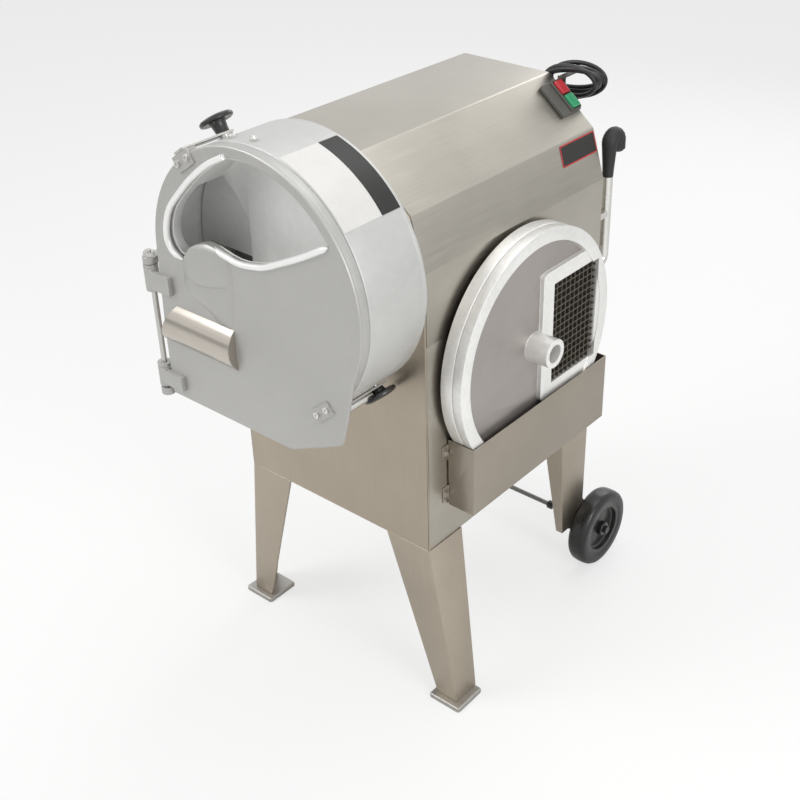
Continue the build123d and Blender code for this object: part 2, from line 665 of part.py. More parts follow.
with BuildPart() as door_seal:
    rodY(0, drumAxisZ, drumInnerR, doorBackY - 13.1, doorBackY - 3.6)
    rodY(0, drumAxisZ, drumInnerR - 4, doorBackY - 14, doorBackY - 3, mode=Mode.SUBTRACT)
save(door_seal, "door_seal")

guardZ, guardX0, guardX1 = drumAxisZ - 130, -drumOuterR, -52.0
with BuildPart() as feed_guard:
    rodX(doorFrontY + 30, guardZ, 48, guardX0, guardX1)
    rodX(doorFrontY + 30, guardZ, 46, guardX0 + 2, guardX1 - 2, mode=Mode.SUBTRACT)
    box(guardX0 - 4, guardX1 + 2, doorFrontY, doorFrontY + 80, guardZ - 65, guardZ + 65,
        mode=Mode.SUBTRACT)
save(feed_guard, "feed_guard")

with BuildPart() as door_knuckles:
    for low, high in ((-82, -33), (-267, -223)):
        z0, z1 = drumAxisZ + low, drumAxisZ + high
        rodZ(hingeX, hingeY, 12.5, z0, z1)
        box(hingeX, hingeX + 16, doorFrontY - 7, doorFrontY + 6, z0 + 6, z1 - 6)
        box(hingeX, hingeX + 58, doorFrontY - 9, doorFrontY, z0 + 8, z1 - 8)
        rodZ(hingeX, hingeY, knuckleBore, z0 - 1, z1 + 1, mode=Mode.SUBTRACT)
    rodX(doorFrontY + 30, guardZ, 48, guardX0, guardX1, mode=Mode.SUBTRACT)
save(door_knuckles, "door_knuckles")

with BuildPart() as bracket_screws:
    for deg in (latchAngleTop - 3.6, latchAngleTop + 3.6, latchAngleLow - 3.6, latchAngleLow + 3.6):
        x, z = polar(220, deg)
        rodY(x, z, 5.5, doorFrontY - 7, doorFrontY - 3)
        with BuildSketch(xz(doorFrontY - 5)):
            with Locations((x, z)):
                RegularPolygon(2.6, 6)
        extrude(amount=3, mode=Mode.SUBTRACT)
save(bracket_screws, "bracket_screws")

for name, deg, y, base, cap in (("knob_top", latchAngleTop, studTopY, 11, 31),
                                ("knob_low", latchAngleLow, studLowY, 6, 14)):
    with BuildPart() as knob:
        with BuildSketch(radialPlane(deg, drumOuterR + base, y)):
            Circle(11)
        extrude(amount=cap - base + 3, taper=-7)
        with BuildSketch(radialPlane(deg, drumOuterR + cap, y)):
            Circle(29)
        extrude(amount=10)
        fillet(knob.edges().filter_by(GeomType.CIRCLE).filter_by(lambda e: e.radius > 28), 4)
        with BuildSketch(radialPlane(deg, drumOuterR + base - 1, y)):
            Circle(5.08)
        extrude(amount=33 - base if cap > 20 else 14, mode=Mode.SUBTRACT)
    save(knob, name)

# ---- handles ------------------------------------------------------------------------------
def handlePoints(side, low):
    x = side * tubeX
    pts = [(x, fy(tubeY), low), (x, fy(tubeY), 952), (x, fy(566), 952), (x, fy(566), 918)]
    return pts


with BuildPart() as handles:
    for side in (-1, 1):
        x = side * tubeX
        with BuildLine() as path:
            FilletPolyline((x, fy(bodyDepth), 706), *handlePoints(side, 706), radius=15)
        with BuildSketch(Plane(origin=path.line @ 0, z_dir=path.line % 0)):
            Circle(10)
        sweep(path=path.line)
        box(x - 10, x + 10, bodyDepth, bodyDepth + 4, 680, 732)
        box(x - 8, x + 8, bodyDepth, tubeY - 4, 800, 812)
save(handles, "handles")

with BuildPart() as grips:
    for side in (-1, 1):
        x = side * tubeX
        with BuildLine() as path:
            FilletPolyline(*handlePoints(side, 872), radius=15)
        with BuildSketch(Plane(origin=path.line @ 0, z_dir=path.line % 0)):
            Circle(13.5)
        sweep(path=path.line)
        rodZ(x, 566, 14.5, 908, 918)
    add(handles.part, mode=Mode.SUBTRACT)
save(grips, "grips")

# ---- mains lead ---------------------------------------------------------------------------
coilX, coilY, coilZ = 134.0, tubeY + 3, hoodProfile[2][1] - 32
coilHalfX, coilHalfZ, coilBand = 76.0, 56.0, 24.0
cordR = 4.2
with BuildPart() as cord_hook:
    hookX, hookZ = coilX - 14, coilZ + coilHalfZ - coilBand - 5.4
    box(hookX - 8, hookX + 8, bodyDepth, bodyDepth + 3, hookZ - 110, hookZ + 1)
    rodY(hookX, hookZ, 4, bodyDepth, coilY + 20)
    rodZ(hookX, coilY + 18, 4, hookZ, hookZ + 14)
save(cord_hook, "cord_hook")

with BuildPart() as cord_gland:
    rodY(60, 985, 10, bodyDepth - sheet - 6, bodyDepth)
    hexY(60, 985, 24, bodyDepth, bodyDepth + 7)
    rodY(60, 985, 9, bodyDepth + 7, bodyDepth + 16)
    rodY(60, 985, cordR, bodyDepth - 20, bodyDepth + 20, mode=Mode.SUBTRACT)
save(cord_gland, "cord_gland")

with BuildPart() as cord_lead:
    with BuildLine() as path:
        FilletPolyline((60, fy(bodyDepth - 8), 985), (60, fy(coilY), 985),
                       (coilX - coilHalfX + 20, fy(coilY), coilZ), radius=8)
    with BuildSketch(Plane(origin=path.line @ 0, z_dir=path.line % 0)):
        Circle(cordR)
    sweep(path=path.line)
    rodZ(coilX - 20, coilY, cordR, coilZ - 110, coilZ - 50)
    with BuildSketch(xz(coilY + 12)):
        with Locations((coilX, coilZ)):
            Ellipse(coilHalfX, coilHalfZ)
    extrude(amount=24, mode=Mode.SUBTRACT)
save(cord_lead, "cord_lead")

with BuildPart() as cord_coil:
    with BuildSketch(xz(coilY + 12)):
        with Locations((coilX, coilZ)):
            Ellipse(coilHalfX, coilHalfZ)
            Ellipse(coilHalfX - coilBand, coilHalfZ - coilBand, mode=Mode.SUBTRACT)
    extrude(amount=24)
    fillet(cord_coil.edges(), 7)
save(cord_coil, "cord_coil")

with BuildPart() as cord_plug:
    with Locations((coilX - 20, fy(coilY), coilZ - 133)):
        Cylinder(19, 46)
    fillet(cord_plug.edges().filter_by(GeomType.CIRCLE), 5)
    for dx in (-9.5, 9.5):
        with Locations((coilX - 20 + dx, fy(coilY), coilZ - 165)):
            Cylinder(2.4, 20)
save(cord_plug, "cord_plug")

rampBackY = -74.0
wallBackY = doorBackY + 4
lipCurve, crownCurve = Spline(*lipPoints), Spline(*crownPoints)
mouthPoints = [tuple(lipCurve @ (k / 22))[:2] for k in range(22)]
mouthPoints += [polar(mouthR, 34.6 + (99.8 - 34.6) * k / 14) for k in range(14)]
mouthPoints += [tuple(crownCurve @ (k / 18))[:2] for k in range(18)]


def inset(points, d):
    out = []
    n = len(points)
    for k in range(n):
        (ax, az), (bx, bz) = points[k - 1], points[(k + 1) % n]
        length = math.hypot(bx - ax, bz - az)
        out.append((points[k][0] - (bz - az) / length * d, points[k][1] + (bx - ax) / length * d))
    return out


def prism(points, y0, y1, mode=Mode.ADD):
    with BuildSketch(xz(y1)) as outline:
        Polygon(*points, align=None)
    extrude(outline.sketch, amount=y1 - y0, mode=mode)


wallPoints = inset(mouthPoints, 5)
with BuildPart() as feedSpace:
    # room in front of the ramp
    prism(wallPoints, -160, rampBackY + 6)
    with BuildSketch(Plane.XY.offset(700)):
        Polygon((230, fy(-200)), (230, fy(doorFrontY + 6)), (-84, fy(rampBackY)),
                (-230, fy(rampBackY)), (-230, fy(-200)), align=None)
    extrude(amount=400, mode=Mode.INTERSECT)

with BuildPart() as rearSpace:
    # hollow behind the ramp
    prism(wallPoints, -160, rampBackY + 6)
    with BuildSketch(Plane.XY.offset(700)):
        Polygon((230, fy(0)), (230, fy(doorFrontY + 12)), (-50, fy(rampBackY + 1)),
                (-50, fy(0)), align=None)
    extrude(amount=400, mode=Mode.INTERSECT)

with BuildPart() as windowSpace:
    # window through which the food meets the disc, and the short wall left of it
    prism(inset(mouthPoints, -8), wallBackY, rampBackY + 6)
    with BuildSketch(xz(0)):
        with BuildLine():
            Polyline((-141, 992), (-106, 960), (-79, 916), (-84, 840), (-260, 840), (-260, 1100),
                     (-160, 1060), close=True)
        make_face()
    extrude(amount=200, mode=Mode.INTERSECT)

with BuildPart() as hopper:
    prism(mouthPoints, doorFrontY + doorPlateThick, rampBackY + 5)
    add(feedSpace.part, mode=Mode.SUBTRACT)
    add(rearSpace.part, mode=Mode.SUBTRACT)
    add(windowSpace.part, mode=Mode.SUBTRACT)
save(hopper, "hopper")
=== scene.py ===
import bpy
import bmesh
import json
import math
from mathutils import Matrix, Vector


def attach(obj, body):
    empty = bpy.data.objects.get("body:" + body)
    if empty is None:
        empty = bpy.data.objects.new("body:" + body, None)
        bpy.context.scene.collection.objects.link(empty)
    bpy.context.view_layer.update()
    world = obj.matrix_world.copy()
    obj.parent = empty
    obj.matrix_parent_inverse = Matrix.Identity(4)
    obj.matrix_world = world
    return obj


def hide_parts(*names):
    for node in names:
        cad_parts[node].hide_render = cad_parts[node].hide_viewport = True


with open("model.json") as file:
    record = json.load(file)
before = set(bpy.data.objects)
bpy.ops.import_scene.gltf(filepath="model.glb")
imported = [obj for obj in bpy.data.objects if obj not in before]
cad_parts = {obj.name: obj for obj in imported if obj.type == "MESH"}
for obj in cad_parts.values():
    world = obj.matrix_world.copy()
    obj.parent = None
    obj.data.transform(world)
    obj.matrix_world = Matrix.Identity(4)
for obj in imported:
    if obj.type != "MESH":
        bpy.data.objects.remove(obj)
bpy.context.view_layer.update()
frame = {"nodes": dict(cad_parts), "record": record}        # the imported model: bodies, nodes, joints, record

nodes = frame["nodes"]
print("frame loaded,", len(nodes), "nodes")


zeroPlace = {"x": 11.25, "y": 227.5}      # from the frame's zero to the housing's own, in millimetres


def at(x, y, z):
    # millimetres: x from the middle of the housing, y from its front sheet, z from the floor
    return Vector(((x - zeroPlace["x"]) / 1000, (y - zeroPlace["y"]) / 1000, z / 1000))


def spotOf(place):
    # the same millimetres, for a point of a finished mesh
    return place.x * 1000 + zeroPlace["x"], place.y * 1000 + zeroPlace["y"], place.z * 1000


drumSize = {"axisZ": 855, "outerR": 226, "innerR": 218, "depth": 129, "wallEnd": 7.6, "backPlate": 8,
            "hubHole": 60, "outletFrom": -66, "outletTo": 215}


def polar(r, deg):
    a = math.radians(deg)
    return r * math.cos(a), drumSize["axisZ"] + r * math.sin(a)


# Camera at the photograph's angle
cameraSetup = {"place": (1.30242, -1.51148, 1.71788), "tilt": 59.22, "turn": 38.08,
               "lens": 55.52, "shiftX": -0.0864, "shiftY": -0.0343}
cameraData = bpy.data.cameras.new("photoCamera")
cameraData.lens = cameraSetup["lens"]
cameraData.sensor_width = 36
cameraData.shift_x = cameraSetup["shiftX"]
cameraData.shift_y = cameraSetup["shiftY"]
camera = bpy.data.objects.new("photoCamera", cameraData)
camera.location = cameraSetup["place"]
camera.rotation_euler = (math.radians(cameraSetup["tilt"]), 0, math.radians(cameraSetup["turn"]))
bpy.context.scene.collection.objects.link(camera)
bpy.context.scene.camera = camera
bpy.context.scene.view_settings.view_transform = "Standard"


# Finishes
def finish(name, tint, rough, metallic=1.0, grain=(60, 60, 60), spread=0.05, cloud=0.05,
           cloudScale=7.0, roughSpread=0.06, bump=0.0, bumpScale=400.0, coat=0.0):
    # colour and roughness vary along a stretched grain and a slow cloud, relief from fine noise
    mat = bpy.data.materials.new(name)
    mat.use_nodes = True
    tree = mat.node_tree
    shader = tree.nodes["Principled BSDF"]
    shader.inputs["Metallic"].default_value = metallic
    shader.inputs["Coat Weight"].default_value = coat
    coords = tree.nodes.new("ShaderNodeTexCoord")
    stretch = tree.nodes.new("ShaderNodeMapping")
    stretch.inputs["Scale"].default_value = grain
    lines = tree.nodes.new("ShaderNodeTexNoise")
    lines.inputs["Scale"].default_value = 1.0
    lines.inputs["Detail"].default_value = 5.0
    slow = tree.nodes.new("ShaderNodeTexNoise")
    slow.inputs["Scale"].default_value = cloudScale
    slow.inputs["Detail"].default_value = 3.0
    tree.links.new(coords.outputs["Object"], stretch.inputs["Vector"])
    tree.links.new(stretch.outputs["Vector"], lines.inputs["Vector"])
    tree.links.new(coords.outputs["Object"], slow.inputs["Vector"])

    def between(source, low, high):
        # the middle part of a noise, stretched over a range
        ramp = tree.nodes.new("ShaderNodeMapRange")
        ramp.inputs["From Min"].default_value = 0.3
        ramp.inputs["From Max"].default_value = 0.7
        ramp.inputs["To Min"].default_value = low
        ramp.inputs["To Max"].default_value = high
        tree.links.new(source, ramp.inputs["Value"])
        return ramp.outputs["Result"]

    def shades(source, amount, colour):
        # the colour made lighter and darker by a noise
        mix = tree.nodes.new("ShaderNodeMix")
        mix.data_type = "RGBA"
        mix.blend_type = "MULTIPLY"
        mix.inputs["Factor"].default_value = 1.0
        tree.links.new(between(source, 1.0 - amount, 1.0 + amount), mix.inputs[7])
        if isinstance(colour, tuple):
            mix.inputs[6].default_value = (*colour, 1)
        else:
            tree.links.new(colour, mix.inputs[6])
        return mix.outputs[2]

    colour = shades(slow.outputs["Fac"], cloud, shades(lines.outputs["Fac"], spread, tint))
    tree.links.new(colour, shader.inputs["Base Color"])
    gloss = between(lines.outputs["Fac"], max(rough - roughSpread, 0.02), rough + roughSpread)
    tree.links.new(gloss, shader.inputs["Roughness"])
    if bump:
        fine = tree.nodes.new("ShaderNodeTexNoise")
        fine.inputs["Scale"].default_value = bumpScale
        fine.inputs["Detail"].default_value = 4.0
        relief = tree.nodes.new("ShaderNodeBump")
        relief.inputs["Strength"].default_value = bump
        relief.inputs["Distance"].default_value = 0.001
        tree.links.new(coords.outputs["Object"], fine.inputs["Vector"])
        tree.links.new(fine.outputs["Fac"], relief.inputs["Height"])
        tree.links.new(relief.outputs["Normal"], shader.inputs["Normal"])
    return mat


alongDepth = (700, 9, 700)       # brush lines that run from front to back
alongHeight = (700, 700, 9)      # brush lines that run up and down
hoodSteel = finish("hoodSteel", (0.45, 0.425, 0.375), 0.34, grain=alongDepth, spread=0.05, bump=0.02)
sideSteel = finish("sideSteel", (0.43, 0.40, 0.35), 0.36, grain=alongDepth, spread=0.05, bump=0.02)
frontSteel = finish("frontSteel", (0.42, 0.365, 0.295), 0.38, grain=alongHeight, spread=0.05, bump=0.02)
legSteel = finish("legSteel", (0.42, 0.37, 0.305), 0.40, grain=alongHeight, spread=0.06, bump=0.03)
pocketSteel = finish("pocketSteel", (0.36, 0.32, 0.27), 0.38, grain=alongDepth, spread=0.05, bump=0.02)
castSilver = finish("castSilver", (0.47, 0.465, 0.45), 0.45, metallic=0.55, grain=(80, 80, 80),
                    spread=0.025, cloud=0.03, bump=0.12, bumpScale=1500)
drumSilver = finish("drumSilver", (0.56, 0.56, 0.545), 0.48, metallic=0.5, grain=(80, 80, 80),
                    spread=0.025, cloud=0.03, bump=0.12, bumpScale=1500)
innerSilver = finish("innerSilver", (0.74, 0.74, 0.725), 0.5, metallic=0.45, grain=(80, 80, 80),
                     spread=0.03, cloud=0.05, bump=0.12, bumpScale=1500)
innerShade = finish("innerShade", (0.72, 0.72, 0.71), 0.55, metallic=0.25, grain=(80, 80, 80),
                    spread=0.04, cloud=0.06, bump=0.12, bumpScale=1500)
discCast = finish("discCast", (0.85, 0.845, 0.825), 0.36, metallic=0.6, grain=(120, 120, 120),
                  spread=0.04, cloud=0.05, bump=0.2, bumpScale=1100)
discFace = finish("discFace", (0.38, 0.35, 0.33), 0.42, metallic=0.75, grain=(120, 120, 120),
                  spread=0.04, cloud=0.06, bump=0.2, bumpScale=1100)
# the scoop's polished steel, its tint made darker and warm: a painted reflection of the door above and a brown
# floor below
polished = finish("polished", (0.52, 0.48, 0.43), 0.2, grain=(9, 500, 500), spread=0.03,
                  roughSpread=0.03)
beadMetal = finish("beadMetal", (0.92, 0.915, 0.90), 0.36, grain=(60, 60, 60), spread=0.015,
                   cloud=0.02, metallic=0.3, roughSpread=0.02)
brightSteel = finish("brightSteel", (0.70, 0.69, 0.66), 0.22, grain=(300, 300, 300), spread=0.04)
turnedSteel = finish("turnedSteel", (0.58, 0.57, 0.55), 0.3, grain=(20, 900, 20), spread=0.05)
darkSteel = finish("darkSteel", (0.20, 0.195, 0.185), 0.42, grain=(200, 200, 200), spread=0.08)
gridSteel = finish("gridSteel", (0.15, 0.135, 0.11), 0.45, metallic=0.8, grain=(300, 300, 300),
                   spread=0.15)
knobPlastic = finish("knobPlastic", (0.016, 0.0155, 0.015), 0.34, metallic=0, spread=0.1,
                     bump=0.05, bumpScale=900, coat=0.2)
gripRubber = finish("gripRubber", (0.013, 0.013, 0.0125), 0.55, metallic=0, spread=0.12, bump=0.2,
                    bumpScale=900)
tyreRubber = finish("tyreRubber", (0.010, 0.010, 0.010), 0.3, metallic=0, spread=0.15, bump=0.1,
                    bumpScale=700)
leadRubber = finish("leadRubber", (0.010, 0.010, 0.011), 0.4, metallic=0, spread=0.1, bump=0.05,
                    bumpScale=900)
footSteel = finish("footSteel", (0.40, 0.385, 0.36), 0.42, grain=(150, 150, 150), spread=0.08,
                   bump=0.1, bumpScale=500)
sealRubber = finish("sealRubber", (0.03, 0.03, 0.03), 0.7, metallic=0, spread=0.1, bump=0.1)
switchShell = finish("switchShell", (0.085, 0.082, 0.072), 0.45, metallic=0, spread=0.06,
                     bump=0.08, bumpScale=900)
stopRed = finish("stopRed", (0.50, 0.035, 0.045), 0.30, metallic=0, spread=0.05, cloud=0.08, coat=0.3)
startGreen = finish("startGreen", (0.03, 0.30, 0.13), 0.30, metallic=0, spread=0.05, cloud=0.08, coat=0.3)
whitePlate = finish("whitePlate", (0.74, 0.73, 0.70), 0.4, metallic=0, spread=0.02, cloud=0.03, coat=0.2)
darkPlate = finish("darkPlate", (0.012, 0.011, 0.010), 0.38, metallic=0, spread=0.06, cloud=0.05)
redEdge = finish("redEdge", (0.45, 0.03, 0.03), 0.4, metallic=0, spread=0.05)
motorPaint = finish("motorPaint", (0.12, 0.15, 0.19), 0.5, metallic=0.1, spread=0.06, bump=0.15)
ironPaint = finish("ironPaint", (0.10, 0.10, 0.10), 0.55, metallic=0.2, spread=0.08, bump=0.2)
beltRubber = finish("beltRubber", (0.03, 0.03, 0.032), 0.65, metallic=0, spread=0.1, bump=0.15)
print("finishes made")


# Shared builders
def rounded(points, radius, steps=5):
    # closed outline with its corners rounded; a point may carry its own radius
    out = []
    count = len(points)
    for k in range(count):
        p = Vector(points[k][:2])
        before, after = Vector(points[k - 1][:2]), Vector(points[(k + 1) % count][:2])
        r = points[k][2] if len(points[k]) > 2 else radius
        a, b = (before - p).normalized(), (after - p).normalized()
        angle = a.angle(b)
        if r <= 0 or angle > math.pi - 0.02:
            out.append((p.x, p.y))
            continue
        reach = min(r / math.tan(angle / 2), (before - p).length * 0.49, (after - p).length * 0.49)
        r = reach * math.tan(angle / 2)
        middle = p + (a + b).normalized() * (r / math.sin(angle / 2))
        start, end = p + a * reach - middle, p + b * reach - middle
        sweep = start.angle_signed(end)
        for i in range(steps + 1):
            turn = Matrix.Rotation(-sweep * i / steps, 2)
            q = middle + turn @ start
            out.append((q.x, q.y))
    return out


def circle(cx, cz, r, steps=96):
    # closed outline of a circle
    return [(cx + r * math.cos(2 * math.pi * k / steps), cz + r * math.sin(2 * math.pi * k / steps))
            for k in range(steps)]


def ringFaces(bm, rings, material=0, closeAcross=False, closeAlong=True):
    # quads between rings of vertices
    count = len(rings[0])
    pairs = list(zip(rings, rings[1:])) + ([(rings[-1], rings[0])] if closeAcross else [])
    for a, b in pairs:
        for k in range(count if closeAlong else count - 1):
            n = (k + 1) % count
            corners = []
            for v in (a[k], a[n], b[n], b[k]):
                if v not in corners:
                    corners.append(v)
            if len(corners) > 2:
                bm.faces.new(corners).material_index = material


def plate(bm, loops, depth, rounding, place, material=0, steps=3):
    # flat plate with rounded edges; first loop is the outside, the others are holes
    caps = [[], []]
    for index, loop in enumerate(loops):
        area = sum(a[0] * b[1] - b[0] * a[1] for a, b in zip(loop, loop[1:] + loop[:1]))
        if (area > 0) != (index == 0):
            loop = loop[::-1]
        count = len(loop)
        inward = []
        for k in range(count):
            p, q = Vector(loop[k - 1]), Vector(loop[(k + 1) % count])
            along = (q - p).normalized()
            inward.append((-along.y, along.x))
        r = rounding
        profile = [(r + 0.6, 0)]
        profile += [(r - r * math.sin(math.pi / 2 * i / steps), r - r * math.cos(math.pi / 2 * i / steps))
                    for i in range(steps + 1)]
        profile += [(r - r * math.cos(math.pi / 2 * i / steps),
                     depth - r + r * math.sin(math.pi / 2 * i / steps)) for i in range(steps + 1)]
        profile += [(r + 0.6, depth)]
        rings = [[bm.verts.new(place(x + nx * d, z + nz * d, w))
                  for (x, z), (nx, nz) in zip(loop, inward)] for d, w in profile]
        ringFaces(bm, rings, material)
        for cap, ring in zip(caps, (rings[0], rings[-1])):
            for k in range(count):
                cap.append(bm.edges.get((ring[k], ring[(k + 1) % count])))
    for cap in caps:
        made = bmesh.ops.triangle_fill(bm, edges=cap, use_beauty=True)["geom"]
        for face in made:
            if isinstance(face, bmesh.types.BMFace):
                face.material_index = material


def lathe(bm, profile, place, span=(0, 360), steps=120, material=0, closed=True):
    # turns a profile of (radius, height) round an axis given by place(radius, degrees, height)
    whole = abs(span[1] - span[0]) >= 360
    turns = [span[0] + (span[1] - span[0]) * k / steps for k in range(steps if whole else steps + 1)]
    rings = []
    for r, h in profile:
        if r < 1e-6:
            pole = bm.verts.new(place(0, 0, h))
            rings.append([pole] * len(turns))
        else:
            rings.append([bm.verts.new(place(r, deg, h)) for deg in turns])
    ringFaces(bm, rings, material, closeAcross=closed, closeAlong=whole)
    if not whole and closed:
        for end in (0, -1):
            bm.faces.new([ring[end] for ring in rings]).material_index = material


def tube(bm, path, radius, steps=24, material=0, capped=True):
    # round bar along a path of points; radius may be a function of 0..1 along it
    rings = []
    side = None
    for k, p in enumerate(path):
        ahead = (path[min(k + 1, len(path) - 1)] - path[max(k - 1, 0)]).normalized()
        if side is None:
            side = ahead.orthogonal().normalized()
        side = (side - ahead * side.dot(ahead)).normalized()
        other = ahead.cross(side)
        r = (radius(k / (len(path) - 1)) if callable(radius) else radius) / 1000
        rings.append([bm.verts.new(p + (side * math.cos(a) + other * math.sin(a)) * r)
                      for a in (2 * math.pi * i / steps for i in range(steps))])
    ringFaces(bm, rings, material)
    if capped:
        bm.faces.new(rings[0][::-1]).material_index = material
        bm.faces.new(rings[-1]).material_index = material


def roundY(cx, cz):
    # lathe placement round an axis that runs front to back
    return lambda r, deg, h: at(cx + r * math.cos(math.radians(deg)), h, cz + r * math.sin(math.radians(deg)))


def roundX(cy, cz):
    # the same, round an axis that runs across
    return lambda r, deg, h: at(h, cy + r * math.cos(math.radians(deg)), cz + r * math.sin(math.radians(deg)))


def roundZ(cx, cy):
    # the same, round an upright axis
    return lambda r, deg, h: at(cx + r * math.cos(math.radians(deg)), cy + r * math.sin(math.radians(deg)), h)


def radial(deg, y):
    # placement on the drum wall: u runs rearwards, v round the drum, w outwards from its axis
    a = math.radians(deg)

    def place(u, v, w):
        return at(w * math.cos(a) - v * math.sin(a), y + u,
                  drumSize["axisZ"] + w * math.sin(a) + v * math.cos(a))
    return place


def makePiece(name, bm, materials, body, stands=(), sharp=32, tidy=True):
    # the mesh as a named piece that rides on its body and stands for its nodes
    if tidy:
        bmesh.ops.remove_doubles(bm, verts=bm.verts, dist=0.00002)
        bmesh.ops.recalc_face_normals(bm, faces=bm.faces)
    mesh = bpy.data.meshes.new(name)
    bm.to_mesh(mesh)
    bm.free()
    mesh.shade_smooth()
    mesh.set_sharp_from_angle(angle=math.radians(sharp))
    piece = bpy.data.objects.new(name, mesh)
    bpy.context.scene.collection.objects.link(piece)
    for mat in materials:
        mesh.materials.append(mat)
    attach(piece, body)
    if stands:
        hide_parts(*stands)
    return piece


def settled(piece):
    # turns live modifiers into a plain mesh
    graph = bpy.context.evaluated_depsgraph_get()
    mesh = bpy.data.meshes.new_from_object(piece.evaluated_get(graph), depsgraph=graph)
    piece.modifiers.clear()
    piece.data = mesh
    return piece


def softenedCopy(node, body, material, width, segments=3, limit=38, sharp=40):
    # the CAD shape with its edges rounded as a folded or cast piece has them
    bm = bmesh.new()
    bm.from_mesh(nodes[node].data)
    bmesh.ops.remove_doubles(bm, verts=bm.verts, dist=0.00001)
    bmesh.ops.dissolve_limit(bm, angle_limit=math.radians(1.0), verts=bm.verts, edges=bm.edges)
    piece = makePiece(node + "_shaped", bm, [material], body, (node,), tidy=False, sharp=sharp)
    bevel = piece.modifiers.new("edges", "BEVEL")
    bevel.width = width / 1000
    bevel.segments = segments
    bevel.limit_method = "ANGLE"
    bevel.angle_limit = math.radians(limit)
    bevel.harden_normals = False
    settled(piece)
    piece.data.shade_smooth()
    piece.data.set_sharp_from_angle(angle=math.radians(sharp))
    return piece


# Mains lead
leadSetup = {"diameter": 8.4, "length": 1.575, "middle": (125, 538, 1034), "half": (56, 35.5),
             "from": 250, "turns": 4.83, "perTurn": 14, "firstY": 18, "pitch": 7.9, "loose": (2.0, 3.5),
             "tilt": 14, "lean": (6, 44), "lift": 5,
             "start": [(60, 520, 985), (60, 528, 985), (60.5, 541, 985), (65, 553, 985), (78, 559, 986),
                       (93, 558, 989.5)],
             "tail": [(80, 520, 1003), (88, 526, 981), (99, 532, 959), (108, 536, 939),
                      (113, 538, 924), (114, 538, 913)]}


def leadRoute(s):
    # loose coil over its hook: turns side by side, the middle ones leaning over to the housing
    cx, cy, cz = s["middle"]
    tilt = math.radians(s["tilt"])
    points = list(s["start"])
    for k in range(int(s["turns"] * s["perTurn"])):
        u = (k + 0.6) / s["perTurn"]
        a = math.radians(s["from"]) + 2 * math.pi * u
        swell = math.sin(math.pi * u / s["turns"])
        lean = math.radians(s["lean"][0] + s["lean"][1] * swell)
        along = (s["half"][0] + s["loose"][0] * math.sin(2.1 * u + 0.5)) * math.cos(a)
        across = (s["half"][1] - s["loose"][1] * math.cos(math.pi * u)) * math.sin(a)
        rise = across * math.cos(lean)
        points.append((cx + along * math.cos(tilt) - rise * math.sin(tilt),
                       cy + s["firstY"] - s["pitch"] * u - across * math.sin(lean),
                       cz + s["lift"] * swell + along * math.sin(tilt) + rise * math.cos(tilt)))
    return points + list(s["tail"])


leadCurve = bpy.data.curves.new("mainsLead", "CURVE")
leadCurve.dimensions = "3D"
leadSpline = leadCurve.splines.new("NURBS")
leadPoints = leadRoute(leadSetup)
leadSpline.points.add(len(leadPoints) - 1)
for point, place in zip(leadSpline.points, leadPoints):
    point.co = (*at(*place), 1)
leadSpline.order_u = 3
leadSpline.use_endpoint_u = True
leadCurve.bevel_depth = leadSetup["diameter"] / 2000
leadCurve.bevel_resolution = 5
leadCurve.resolution_u = 6
leadCurve.use_fill_caps = True
mainsLead = bpy.data.objects.new("mainsLead", leadCurve)
bpy.context.scene.collection.objects.link(mainsLead)
leadCurve.materials.append(leadRubber)
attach(mainsLead, "frame")
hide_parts("cord_lead", "cord_coil")

plugSetup = {"middle": (114, 538, 890), "pinGap": 9.5}
plugMesh = bmesh.new()
plugX, plugY, plugZ = plugSetup["middle"]
plugProfile = [(0, 26), (4.4, 26), (5.2, 24), (6.2, 17), (9, 12), (14.5, 8), (17.5, 1), (18.6, -9),
               (18.6, -19), (17.4, -22.5), (0, -23)]
lathe(plugMesh, [(r, plugZ + h) for r, h in plugProfile], roundZ(plugX, plugY), steps=40, closed=False)
pinProfile = [(0, -22.8), (2.4, -22.8), (2.4, -39), (1.8, -41.4), (0, -42)]
for pinSide in (-1, 1):
    lathe(plugMesh, [(r, plugZ + h) for r, h in pinProfile],
          roundZ(plugX + pinSide * plugSetup["pinGap"], plugY), steps=16, material=1, closed=False)
mainsPlug = makePiece("mains_plug", plugMesh, [leadRubber, brightSteel], "frame", ("cord_plug",))
print("mains lead made")

# Floor and light, both pale
floorSetup = {"half": 60.0, "tone": (0.93, 0.93, 0.92), "lift": 0.62, "drop": 0.0004}
floorMesh = bmesh.new()
bmesh.ops.create_grid(floorMesh, x_segments=4, y_segments=4, size=floorSetup["half"])
floorData = bpy.data.meshes.new("studioFloor")
floorMesh.to_mesh(floorData)
floorMesh.free()
floor = bpy.data.objects.new("studioFloor", floorData)
floor.location = (0, 0, -floorSetup["drop"])
bpy.context.scene.collection.objects.link(floor)
floorPaint = bpy.data.materials.new("floorPaint")
floorPaint.use_nodes = True
floorTree = floorPaint.node_tree
floorTree.nodes.clear()
floorOut = floorTree.nodes.new("ShaderNodeOutputMaterial")
floorDiffuse = floorTree.nodes.new("ShaderNodeBsdfDiffuse")
floorDiffuse.inputs["Color"].default_value = (*floorSetup["tone"], 1)
floorGlow = floorTree.nodes.new("ShaderNodeEmission")
floorGlow.inputs["Color"].default_value = (1, 1, 1, 1)
floorMix = floorTree.nodes.new("ShaderNodeMixShader")
floorRay = floorTree.nodes.new("ShaderNodeLightPath")
floorShare = floorTree.nodes.new("ShaderNodeMath")
floorShare.operation = "MULTIPLY"
floorShare.inputs[1].default_value = floorSetup["lift"]
floorTree.links.new(floorRay.outputs["Is Camera Ray"], floorShare.inputs[0])
floorTree.links.new(floorShare.outputs[0], floorMix.inputs["Fac"])
floorTree.links.new(floorDiffuse.outputs[0], floorMix.inputs[1])
